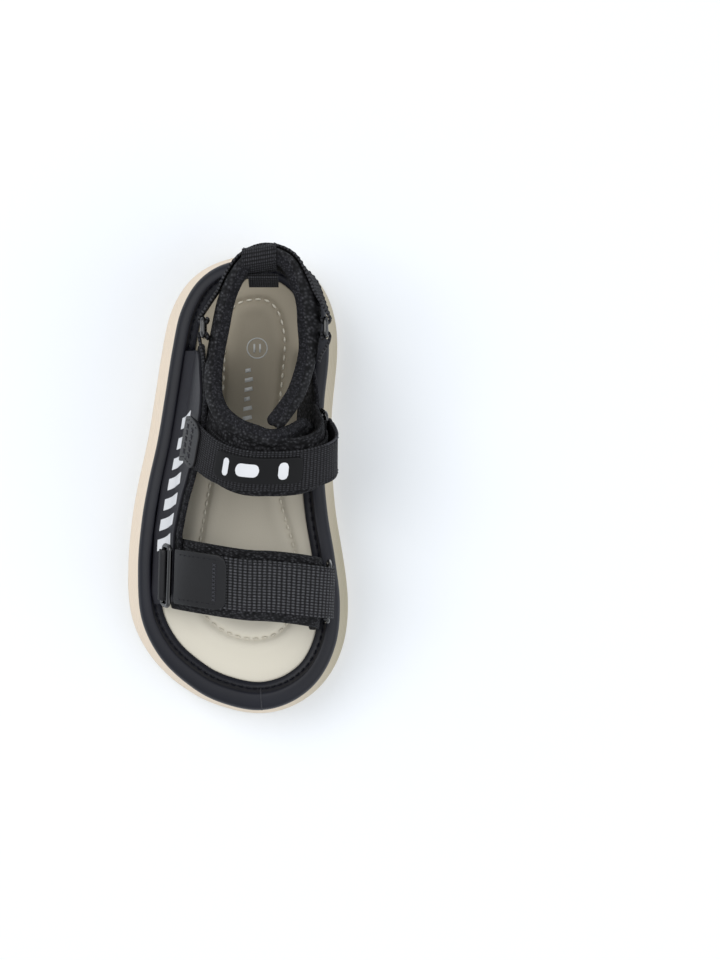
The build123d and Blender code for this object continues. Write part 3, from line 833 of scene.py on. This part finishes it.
BAND_OUT, BAND_THICK, BAND_CAP = 1.2, 2.2, 0.5


def band(name, edges, first, last, toe_margin, heel_margin, replaces):
    """A padded mesh band under a strap, reaching past the strap's edges by its margins."""
    rungs = rungs_over(edges, first, last, BAND_OUT, 80, toe_margin, heel_margin)
    made = piece(name, pad(rungs, BAND_THICK), "sandal", MESH, replaces)
    puff(made, seam_points(made, rungs, BAND_THICK * 0.55), BAND_CAP)
    return made


vamp = band("vamp_pad", forefoot_edges, 3, 177, 4.5, 4.5, ["vamp_band"])
instep = band("instep_pad", instep_edges, 6, 174, 2.5, 6.0, ["instep_band"])
print("padded bands:", len(vamp.data.vertices), len(instep.data.vertices), "points")

# %% [markdown]
# ### The quarters
# A quarter is a flat sheet of cloth or leather, cut with a curved top and stretched round the foot. It
# is laid straight on the foot's skin here: cloth pulled that tight has no folds for a simulation to
# find.

# %% The quarters: mesh lining and smooth overlay
SHELL_LOW, SHELL_OUT, SHELL_FLARE, FLARE_TALL = 28.4, 4.5, 4.6, 8.0


def shell_out(height):
    """How far out the overlay lies: its foot spreads over the rim's flange."""
    return SHELL_OUT + SHELL_FLARE * max(1 - (height - SHELL_LOW) / FLARE_TALL, 0.0) ** 2


def wall(rows, low, out, medial=False, rounding=0.0, spacing=1.2):
    """A sheet of the upper from a low height to a top that changes along y. Returns it and its size."""
    top = Line(rows)
    steps, tallest = max(int(top.length / spacing), 8), max(height for _, height in rows) - low

    def place(u, v):
        spot = top.at(u * top.length)
        end = min(u, 1 - u) * top.length
        if rounding and end < rounding:
            spot.y -= rounding - math.sqrt(rounding ** 2 - (rounding - end) ** 2)
        height = low + (spot.y - low) * v
        turn = turn_at(spot.x, height, medial)
        reach = out if out < SHELL_OUT else shell_out(height)
        return skin(spot.x, turn) + outward(spot.x, turn) * reach

    return grid(steps, 20, place, top.length, tallest), top.length, tallest


def top_edge(rows, out, medial=False):
    """The line along a quarter's top, this far out from the skin."""
    line, steps = Line(rows), 60
    edge = []
    for i in range(steps + 1):
        spot = line.at(line.length * i / steps)
        turn = turn_at(spot.x, spot.y, medial)
        edge.append(skin(spot.x, turn) + outward(spot.x, turn) * out)
    return edge


LINING_ROWS = [(-49.5, 40), (-45, 43), (-25, 45), (-5, 48), (15, 56), (35, 59), (48, 53), (58, 43)]
OVERLAY_ROWS = [(-50, 39), (-45, 41), (-25, 42), (-5, 45), (15, 53), (35, 56), (48, 50), (56, 42)]
MEDIAL_ROWS = [(6, 42), (20, 53), (34, 59), (46, 57), (56, 48)]
LINING_OUT, LEAST_SHARE = 3.3, 0.31   # the least share of its flat rectangle that a sheet may fill
for name, rows, low, out, medial, rounding, thickness, slot, paint, node_name in (
        ("lateral_lining", LINING_ROWS, 26.5, LINING_OUT, False, 2.0, 1.1,
         "lining", MESH, "lateral_quarter_lining"),
        ("lateral_shell", OVERLAY_ROWS, SHELL_LOW, SHELL_OUT, False, 6.0, 1.0,
         "overlay", OVERLAY_SKIN, "lateral_overlay"),
        ("medial_lining", MEDIAL_ROWS, 28.1, LINING_OUT, True, 3.0, 1.1,
         "lining", MESH, "medial_quarter")):
    bm, long, tall = wall(rows, low, out, medial, rounding)
    made = piece(name, bm, "sandal", paint, [node_name])
    thicken(made, thickness)
    print(name, round(tall, 1), "by", round(long, 1), "mm")


# %% [markdown]
# ### Bindings and raised seams
# A raw edge is bound with a narrow folded tape, and a seam stands up as a thin ridge. Both read as a
# round cord along a line. A curve with a bevel could do it, but a grid rolled up has the UV map the
# knit needs.

# %% Rolls: bindings and pipings
def roll(name, points, radius, body, paint, around=10, spacing=1.0):
    """A round cord along a line, such as a binding or a piping, closed at both ends."""
    line = Line(points)
    last = max(int(line.length / spacing), 4)

    def place(u, v):
        at, along = line.at(u * line.length), line.along(u * line.length)
        side = along.cross(UP if abs(along.z) < 0.9 else Vector((1, 0, 0))).normalized()
        angle = 2 * math.pi * v
        end = min(u, 1 - u) * line.length / radius
        size = radius * math.sqrt(max(1 - (1 - min(end + 0.15, 1.0)) ** 2, 0.0))
        return at + (side * math.cos(angle) + side.cross(along) * math.sin(angle)) * size

    return piece(name, grid(last, around, place, line.length, radius * 6, closed=True), body, paint)


BINDING_OUT = 3.4
roll("lateral_edge_binding", top_edge(LINING_ROWS, BINDING_OUT), 1.0, "sandal", RIB_KNIT)
roll("medial_edge_binding", top_edge(MEDIAL_ROWS, BINDING_OUT, True), 1.0, "sandal", RIB_KNIT)
print("bindings made")

# %% The seam that closes the rim at the toe
TOE_SEAM_X, SEAM_STEPS = 11.0, 12
SEAM_START, SEAM_SHARE = 0.13, 0.4   # the part of the rim's section that the seam runs over
distances = [RIM.length * i / 800 for i in range(800)]
toe_mark = min((d for d in distances if RIM.at(d).y < 0), key=lambda d: abs(RIM.at(d).x - TOE_SEAM_X))
over_roll = []
for i in range(SEAM_STEPS + 1):
    reach, height = rim_section(SEAM_START + SEAM_SHARE * i / SEAM_STEPS, rim_out(toe_mark))
    over_roll.append(RIM.at(toe_mark) + rim_out(toe_mark) * reach + UP * (height + 0.05))
roll("rim_toe_seam", over_roll, 0.3, "sandal", GREY_THREAD, 8, 0.5)
print("toe seam", round(toe_mark), "mm round the rim")

# %% [markdown]
# ### The printed bars
# The overlay carries a row of raised white print. Each bar is a small grid laid on the same skin as the
# overlay, a little further out, so it follows the overlay wherever that bends.

# %% Slanted printed bars on the shell, in place of lettering
def wall_patch(y_low, y_high, z_low, z_high, lean, out):
    """A slanted patch on the overlay. lean is how far its top lies back from its foot."""
    def place(u, v):
        y, height = y_low + (y_high - y_low) * u + lean * v, z_low + (z_high - z_low) * v
        turn = turn_at(y, height)
        return skin(y, turn) + outward(y, turn) * (shell_out(height) + out)

    return grid(6, 14, place, y_high - y_low, z_high - z_low)


FIRST_BAR, BAR_PITCH, BAR_COUNT = -28.0, 8.5, 7
BAR_WIDE, BAR_TALL, BAR_FOOT, BAR_LEAN, BAR_LIFT = 4.8, 9.5, 30.0, 3.0, 0.6
BAR_CLIMB, BAR_GROWTH = 0.05, 0.04   # per mm towards the heel
for i in range(BAR_COUNT):
    along = BAR_PITCH * i
    y, height = FIRST_BAR + along, BAR_FOOT + BAR_CLIMB * along
    bar = wall_patch(y, y + BAR_WIDE, height, height + BAR_TALL + BAR_GROWTH * along, BAR_LEAN, BAR_LIFT)
    thicken(piece(f"shell_bar_{i}", bar, "sandal", PRINT), 0.16, rounded=0.04)
print("upper walls and bars made")

# %% [markdown]
# ## Straps, rings' loops and tips
# A strap is a strip of rungs laid on the foot at its own height, then carried on round the ring's bar.
# Each flap rides with its own body, so it peels back from the tapes as the real one does.

# %% Where a strap meets its ring
# bar is the turn at which the ring's bar lies, and tip the turns between which the leather tip lies.
STRAPS = {
    "forefoot": {"edges": forefoot_edges, "bar": 148.0, "tip": (36.0, 76.0), "peel": "forefoot_flap_peel",
                 "swing": "forefoot_ring_swing", "weave": WEBBING},
    "instep": {"edges": instep_edges, "bar": 150.0, "tip": (22.0, 40.0), "peel": "instep_flap_peel",
               "swing": "instep_ring_swing", "weave": FINE_WEBBING},
}
BASE_OUT, FLAP_OUT, TIP_OUT, TAIL_OUT = 3.15, 7.1, 8.4, 4.5   # mm out from the foot
FOLD_RADIUS = 1.9
FLAP_FOLD, LOOP_FOLD = (0, 250), (-170, 55)   # degrees round a ring's bar
SEAM_PITCH, EDGE_SHARES = 2.4, (0.06, 0.94)


def bar_directions(edges, turn):
    """Outward, and down the strap, at the rung over a ring's bar."""
    before, after = rung(edges, turn - 1, 0.0), rung(edges, turn + 1, 0.0)
    down = (after[0] + after[1] - before[0] - before[1]).normalized()
    here = rung(edges, turn, 0.0)
    return down.cross(here[1] - here[0]).normalized(), down, (here[1] - here[0]).length


def rounded_ends(rungs, start, end):
    """The same strip with the corners of its ends cut round, to these radii."""
    spaced, length = even(rungs, FINE)
    cut = []
    for i, (a, b) in enumerate(spaced):
        across = (b - a).normalized()
        at, inset = length * i / (len(spaced) - 1), 0.0
        for radius, gap in ((start, at), (end, length - at)):
            if gap < radius:
                inset = max(inset, radius - math.sqrt(radius ** 2 - (radius - gap) ** 2))
        cut.append((a + across * inset, b - across * inset))
    return cut


def seam(rungs, share, spacing, lift, first=0.0, last=1.0):
    """Places for stitches along a strip, at this share of its width."""
    spaced, length = even(rungs, FINE)
    normals = normals_of(spaced)
    spots, count = [], max(int(length * (last - first) / spacing), 1)
    for i in range(count):
        k = round((first + (last - first) * (i + 0.5) / count) * (len(spaced) - 1))
        a, b = spaced[k]
        before, after = spaced[max(k - 1, 0)], spaced[min(k + 1, len(spaced) - 1)]
        along = (after[0].lerp(after[1], share) - before[0].lerp(before[1], share)).normalized()
        spots.append((a.lerp(b, share) + normals[k] * lift, along, normals[k]))
    return spots


# %% Both hook-and-loop straps
for prefix, strap in STRAPS.items():
    edges, bar, tip = strap["edges"], strap["bar"], strap["tip"]
    out, down, width = bar_directions(edges, bar)
    body, weave = prefix + "_flap", strap["weave"]

    base = rungs_over(edges, max(tip[0], 38.0), bar - 10, BASE_OUT)
    thicken(piece(prefix + "_base", strip(base), "sandal", weave,
                  [prefix + "_base_webbing"]), 1.0)

    fold = wrap_rungs(strap["peel"], width, FOLD_RADIUS, *FLAP_FOLD, out, down)
    flap = rungs_over(edges, tip[0] + 1, bar - 1.5, FLAP_OUT) + fold
    thicken(piece(prefix + "_webbing", strip(flap, 14), body, weave, [body]), 1.15)
    edge_seams = [spot for share in EDGE_SHARES for spot in seam(flap, share, SEAM_PITCH, 0.6, 0.0, 0.86)]
    stitches(prefix + "_webbing_stitches", edge_seams, body, DARK_THREAD, 1.6, 0.28)

    leather = rounded_ends(rungs_over(edges, tip[0] - 1.2, tip[1], TIP_OUT, 40, 0.8, 0.8), 1.0, 4.5)
    thicken(piece(prefix + "_tip_leather", strip(leather, 14, FINE), body, TIP_SKIN,
                  [prefix + "_tip"]), 1.0, rounded=0.35)
    tip_seams = [spot for share in (0.09, 0.91)
                 for spot in seam(leather, share, SEAM_PITCH, 0.5, 0.08, 0.86)]
    stitches(prefix + "_tip_stitches", tip_seams, body, DARK_THREAD, 1.7, 0.28)

    loop = wrap_rungs(strap["swing"], width - 1.0, FOLD_RADIUS, *LOOP_FOLD, out, down)
    tail = rungs_over(edges, bar + 13, 176, TAIL_OUT, 20, -0.6, -0.6)
    thicken(piece(prefix + "_loop", strip(loop + tail), "sandal", weave,
                  [prefix + "_medial_anchor"]), 1.1)
    print(prefix, "strap", round(even(flap)[1]), "mm long and", round(width, 1), "mm wide")

# %% A pale cord on the heel-side edge of the instep webbing, where it turns into the ring: a painted highlight
turned = rungs_over(instep_edges, 118, 148.5, FLAP_OUT, 24)
# The grey cord stands for light along that edge: a painted highlight.
roll("instep_edge_painted_highlight", [b + n * 0.4 for (_, b), n in zip(turned, normals_of(turned))], 0.4,
     "instep_flap", GREY_THREAD, 8, 0.8)
print("edge made")

# %% [markdown]
# ### Zigzags and crosses
# The tips are fixed with stitches that go to and fro. They are the same small threads as before, laid
# from corner to corner across the strip.

# %% The zigzag that fixes the leather tip, and the instep's crossed stitches
def zigzag(rungs, at, teeth, reach, lift):
    """Stitches that go to and fro across a strip, near this share of its length."""
    spaced, length = even(rungs, FINE)
    normals, last = normals_of(spaced), len(spaced) - 1
    corners = []
    for i in range(teeth + 1):
        k = min(max(round((at + (reach if i % 2 else -reach) / length) * last), 0), last)
        corners.append((spaced[k][0].lerp(spaced[k][1], 0.12 + 0.76 * i / teeth), normals[k]))
    spots = []
    for (a, normal), (b, _) in zip(corners, corners[1:]):
        spots.append(((a + b) / 2 + normal * lift, (b - a).normalized(), normal))
    return spots


fore_tip = rungs_over(forefoot_edges, *STRAPS["forefoot"]["tip"], TIP_OUT)
fore_zigzag = zigzag(fore_tip, 0.8, 10, 0.9, 0.62) + zigzag(fore_tip, 0.8, 10, -0.9, 0.62)
stitches("forefoot_tip_zigzag", fore_zigzag, "forefoot_flap", GREY_THREAD, 2.4, 0.32)
instep_tip = rungs_over(instep_edges, *STRAPS["instep"]["tip"], TIP_OUT, 30)
crosses = []
for at in (0.25, 0.6):
    for sign in (1, -1):
        crosses += zigzag(instep_tip, at, 5, 1.3 * sign, 0.6)
stitches("instep_tip_crosses", crosses, "instep_flap", GREY_THREAD, 3.2, 0.3)
print(len(fore_zigzag) + len(crosses), "crossing stitches")

# %% [markdown]
# ### The patch on the instep
# A thin plate of moulded rubber with a raised print is sewn to the flap. Both are strips on the foot,
# cut round at their ends, so they bend with the flap.

# %% The moulded patch on the instep, with a plain lozenge
PATCH_OUT, PRINT_OUT = 8.15, 8.6
patch = rounded_ends(rungs_over(instep_edges, 58, 104, PATCH_OUT, 40, -3, -3), 2.5, 2.5)
thicken(piece("instep_patch_plate", strip(patch, 12, FINE), "instep_flap", PATCH_SKIN,
              ["instep_patch"]), 0.7, rounded=0.3)
for name, first, last, trim in (("patch_lozenge", 74, 88, -6.0), ("patch_bar_low", 65, 69, -5.0),
                                ("patch_bar_high", 93, 97, -5.0)):
    shape = rungs_over(instep_edges, first, last, PRINT_OUT, 24, trim, trim)
    round_by = min(2.4, even(shape)[1] / 2 - 0.05)
    thicken(piece(name, strip(rounded_ends(shape, round_by, round_by), 8, FINE), "instep_flap",
                  PRINT), 0.14, rounded=0.03)

# %% [markdown]
# ### The keeper
# A folded strip of leather goes round the lateral ring's bar and down to the sole. It starts as rungs
# round the bar and goes on as rungs on the foot. The ring turns in it, so it stays with the sandal.

# %% The leather keeper that holds the lateral ring
KEEPER_TURN, KEEPER_RADIUS, KEEPER_OUT = 29.0, 1.7, 7.3
ring_out, upward, ring_width = bar_directions(forefoot_edges, KEEPER_TURN)
keeper = wrap_rungs("lateral_ring_swing", ring_width, KEEPER_RADIUS, *LOOP_FOLD, ring_out, -upward)
tail = [rung(forefoot_edges, turn, KEEPER_OUT, -0.6, -0.6) for turn in (18.0, 15.0, 12.0, 9.0)]
bm = strip([pair if (pair[1] - pair[0]).y > 0 else pair[::-1] for pair in keeper] + tail)
thicken(piece("forefoot_keeper_leather", bm, "sandal", TIP_SKIN, ["forefoot_keeper"]), 0.8)
print("keeper", round(ring_width, 1), "mm wide")

# %% [markdown]
# ## The collar and the heel
# One padded knit roll runs from the front crossing round the heel and back. The webbing lies round its
# back, between the two side rings.

# %% The collar
COLLAR_LINE = [
    (32, 25.5, 62.5), (29, 22.8, 69), (23, 19.6, 75.5), (16, 18.2, 78.5), (9.4, 20.2, 78), (2.4, 23, 75),
    (-4.2, 28.5, 70), (-7.6, 36, 65), (-8.1, 45, 61.5),
    (-6.9, 55, 60.8), (-5.2, 63, 62.5), (-2.8, 74, 66.5), (0.4, 82, 69), (6, 88.8, 70.5), (14, 92, 71),
    (22.4, 89.6, 70.5), (29.2, 82, 69), (32, 74, 66.5), (32.3, 63, 62.5), (31.4, 54.5, 60.8),
    (29.6, 46, 63), (26.6, 37, 68), (22, 29.6, 74), (17.4, 23.6, 77.5),
]
collar_line = Line(COLLAR_LINE)
COLLAR_STEPS, COLLAR_THICK = 220, 6.3
COLLAR_FRONT, COLLAR_REAR = 14, 18     # how tall it is at the front and at the heel
CROSSING_SHARE = 0.55                  # how tall the limb that crosses over stays


def smooth(value, low, high):
    """0 below low, 1 above high, and a soft step in between."""
    share = min(max((value - low) / (high - low), 0.0), 1.0)
    return share * share * (3 - 2 * share)


def lean_at(at):
    """The collar's top leans in on the medial side and back behind the heel."""
    return Vector((-2.4 * smooth(at.x, 22, 31) * smooth(at.y, 52, 66), 2.6 * smooth(at.y, 80, 91), 0.0))


def collar_rung(at, tall):
    lean = lean_at(at) * tall / COLLAR_REAR
    return at - UP * tall / 2 - lean, at + UP * tall / 2 + lean


collar_rungs = []
for i in range(COLLAR_STEPS + 1):
    at = collar_line.at(collar_line.length * i / COLLAR_STEPS)
    full = 1 - smooth(at.x, 14, 30) * smooth(-at.y, -34, -20)
    tall = COLLAR_FRONT + (COLLAR_REAR - COLLAR_FRONT) * smooth(at.y, 50, 75)
    collar_rungs.append(collar_rung(at, tall * (CROSSING_SHARE + (1 - CROSSING_SHARE) * full)))
bm = pad(collar_rungs, COLLAR_THICK, square=0.85, around=40, spacing=1.5)
collar = piece("collar_roll", bm, None, MESH, ["collar_lateral", "collar_medial", "heel_collar"])
puff(collar, seam_points(collar, collar_rungs, 1.4), cap=0.6)
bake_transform(collar)
print("collar", round(collar_line.length), "mm round")

# %% Its ribbed binding, along the inner top edge
inward_normals = normals_of(collar_rungs)
binding_path = [low.lerp(high, 0.86) + normal * 1.7
                for (low, high), normal in zip(collar_rungs, inward_normals)][4::4]
binding = roll("collar_binding", binding_path, 2.5, None, RIB_KNIT, around=18, spacing=0.9)
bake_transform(binding)
print("binding along", len(binding_path), "rungs of the collar")

# %% [markdown]
# ### The heel webbing and its loops
# One strip goes through both side rings and round the back of the collar. A short loop ties each ring
# to the quarter. The loops cross the line where the strap tilts.

# %% Webbing round the heel
HEEL_BARS = {"lateral": (-11.65, -1.0), "medial": (38.25, 1.0)}   # x of the ring bars, outward sign
REAR_BAR_Y, FRONT_BAR_Y, RING_Z = 67.6, 60.6, 64.0
HEEL_TALL, LOOP_TALL, HEEL_FOLD_RADIUS = 12, 10, 1.8


def upright(x, y, z, tall):
    """A rung that stands upright."""
    return Vector((x, y, z - tall / 2)), Vector((x, y, z + tall / 2))


def heel_fold(side, bar_y, tall, first, last, steps=16):
    """Rungs round a standing ring bar. 0 is outward from the heel, 90 is towards the toe."""
    x, sign = HEEL_BARS[side]
    fold = []
    for i in range(steps + 1):
        angle = math.radians(first + (last - first) * i / steps)
        across, back = math.cos(angle) * HEEL_FOLD_RADIUS, math.sin(angle) * HEEL_FOLD_RADIUS
        fold.append(upright(x + sign * across, bar_y - back, RING_Z, tall))
    return fold


WEBBING_STANDOFF, ROUND_HEEL_Y = 4.0, 77.5
round_heel = []
for (low, high), normal in zip(collar_rungs, inward_normals):
    if (low.y + high.y) / 2 > ROUND_HEEL_Y:
        round_heel.append((low.lerp(high, 0.17) - normal * WEBBING_STANDOFF,
                           low.lerp(high, 0.83) - normal * WEBBING_STANDOFF))
webbing_rungs = heel_fold("lateral", REAR_BAR_Y, HEEL_TALL, 200, 0)
webbing_rungs += round_heel
webbing_rungs += heel_fold("medial", REAR_BAR_Y, HEEL_TALL, 0, 200)
thicken(piece("heel_band", strip(webbing_rungs), "heel_strap", FINE_WEBBING, ["heel_webbing"]),
        1.0)
heel_seams = [spot for share in (0.08, 0.92)
              for spot in seam(webbing_rungs, share, SEAM_PITCH, -0.55, 0.06, 0.94)]
stitches("heel_band_stitches", heel_seams, "heel_strap", DARK_THREAD, 1.6, 0.28)
print(len(heel_seams), "stitches in the heel webbing")

# %% Loops that tie the heel rings to the quarters
LOOP_FOOT = {"lateral": -11.6, "medial": 35.4}   # x where each loop is sewn down on the collar's outside
LOOP_BESIDE, LOOP_DROP = 1.6, 2.5                # how far out from the bar it runs, and how far down
for side, (x, sign) in HEEL_BARS.items():
    rungs = []
    for y in (50.0, 51.5, 53.0, 55.0, 57.0, 58.3, 59.3):
        eased = 1 - smooth(y, 50, 60)
        straight = x + sign * LOOP_BESIDE
        beside = straight + (LOOP_FOOT[side] - straight) * eased
        rungs.append(upright(beside, y, RING_Z - LOOP_DROP * eased, LOOP_TALL))
    rungs += heel_fold(side, FRONT_BAR_Y, LOOP_TALL, 0, -230)
    loop = piece("heel_loop_" + side, strip(rungs), None, FINE_WEBBING, ["heel_anchor_" + side])
    thicken(loop, 1.0)
    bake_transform(loop)
    print(side, "loop of", len(rungs), "rungs")

# %% [markdown]
# ### The pull tab
# A strip of webbing is folded double and caught under a slanted patch at the back of the collar. The
# fold is one closed run of rungs. The patch is a strip laid over the collar's top along a line of its
# own.

# %% The pull tab, a folded loop of webbing
TAB_PIVOT, TAB_WIDE, TAB_DROP, TAB_LEAN = Vector((13.0, 84.9, 77.0)), 12.0, 13.0, math.radians(18)
TAB_STEPS, TAB_HALF_THICK, TAB_END = 48, 0.75, 0.9
tab_down = Vector((0, -math.sin(TAB_LEAN), -math.cos(TAB_LEAN)))
tab_back = Vector((0, math.cos(TAB_LEAN), -math.sin(TAB_LEAN)))
half_wide = Vector((TAB_WIDE / 2, 0, 0))
tab_rungs = []
for i in range(TAB_STEPS + 1):
    angle = 2 * math.pi * i / TAB_STEPS
    lift = -TAB_DROP / 2 + math.cos(angle) * (TAB_DROP / 2 - TAB_END)
    spread = math.copysign(abs(math.sin(angle)) ** 0.4, math.sin(angle)) * TAB_HALF_THICK
    spot = TAB_PIVOT - tab_down * lift + tab_back * spread
    tab_rungs.append((spot - half_wide, spot + half_wide))
thicken(piece("heel_tab", strip(tab_rungs, 10, 0.7), "pull_tab", FINE_WEBBING,
              ["heel_pull_tab"]), 0.8)
print("tab", TAB_WIDE, "by", TAB_DROP, "mm")

# %% The webbing patch that holds the tab, sewn over the collar's top
patch_path = Line([(0, 97.6, 72), (0, 97.6, 77.5), (0, 95.6, 81.0), (0, 91.8, 81.2),
                   (0, 89.2, 78.0), (0, 87.2, 74.0)])
PATCH_LEFT, PATCH_RIGHT, PATCH_STEPS = Vector((4.5, -2.6, -0.4)), Vector((18.5, -0.3, 0.0)), 30
patch_rungs = []
for i in range(PATCH_STEPS + 1):
    at = patch_path.at(patch_path.length * i / PATCH_STEPS)
    patch_rungs.append((at + PATCH_LEFT, at + PATCH_RIGHT))
thicken(piece("tab_patch", strip(patch_rungs, 12, 0.8), "heel_strap", FINE_WEBBING), 0.8)
patch_seams = [spot for share in EDGE_SHARES for spot in seam(patch_rungs, share, 2.0, 0.45)]
stitches("tab_patch_stitches", patch_seams, "heel_strap", DARK_THREAD, 1.5, 0.28)
print(len(patch_seams), "stitches in the patch")

# %% [markdown]
# ## Floor, light and camera
# A pale floor, one large soft light from the upper left and a weak fill give the short soft shadow. The
# camera looks straight down.

# %% Stage
bpy.ops.mesh.primitive_plane_add(size=6.0, location=(0, 0, 0))
floor = bpy.context.object
floor.name = "floor"
paint = bpy.data.materials.new("pale_floor")
paint.use_nodes = True
paint.node_tree.nodes["Principled BSDF"].inputs["Base Color"].default_value = (0.86, 0.885, 0.91, 1.0)
paint.node_tree.nodes["Principled BSDF"].inputs["Roughness"].default_value = 0.7
floor.data.materials.append(paint)


def soft_light(name, place, size, power, colour=(1.0, 1.0, 1.0)):
    light = bpy.data.lights.new(name, "AREA")
    light.size, light.energy, light.color = size, power, colour
    lamp = bpy.data.objects.new(name, light)
    lamp.location = place
    lamp.rotation_euler = (Vector((0, 0, 0.04)) - Vector(place)).to_track_quat("-Z", "Y").to_euler()
    scene.collection.objects.link(lamp)


soft_light("key", (-0.6, 0.35, 1.3), 1.0, 8.5)
soft_light("fill", (0.9, -0.4, 1.1), 1.4, 6.5, (0.97, 0.98, 1.0))
world = bpy.data.worlds.new("pale_room")
world.use_nodes = True
world.node_tree.nodes["Background"].inputs["Color"].default_value = (0.93, 0.96, 1.0, 1.0)
world.node_tree.nodes["Background"].inputs["Strength"].default_value = 0.76
scene.world = world
scene.view_settings.view_transform = "Standard"

camera = bpy.data.objects.new("camera", bpy.data.cameras.new("camera"))
camera.location = (0.0522, 0.0019, 1.3)
camera.data.lens, camera.data.sensor_width, camera.data.sensor_fit = 113.5, 36.0, "AUTO"
scene.collection.objects.link(camera)
scene.camera = camera
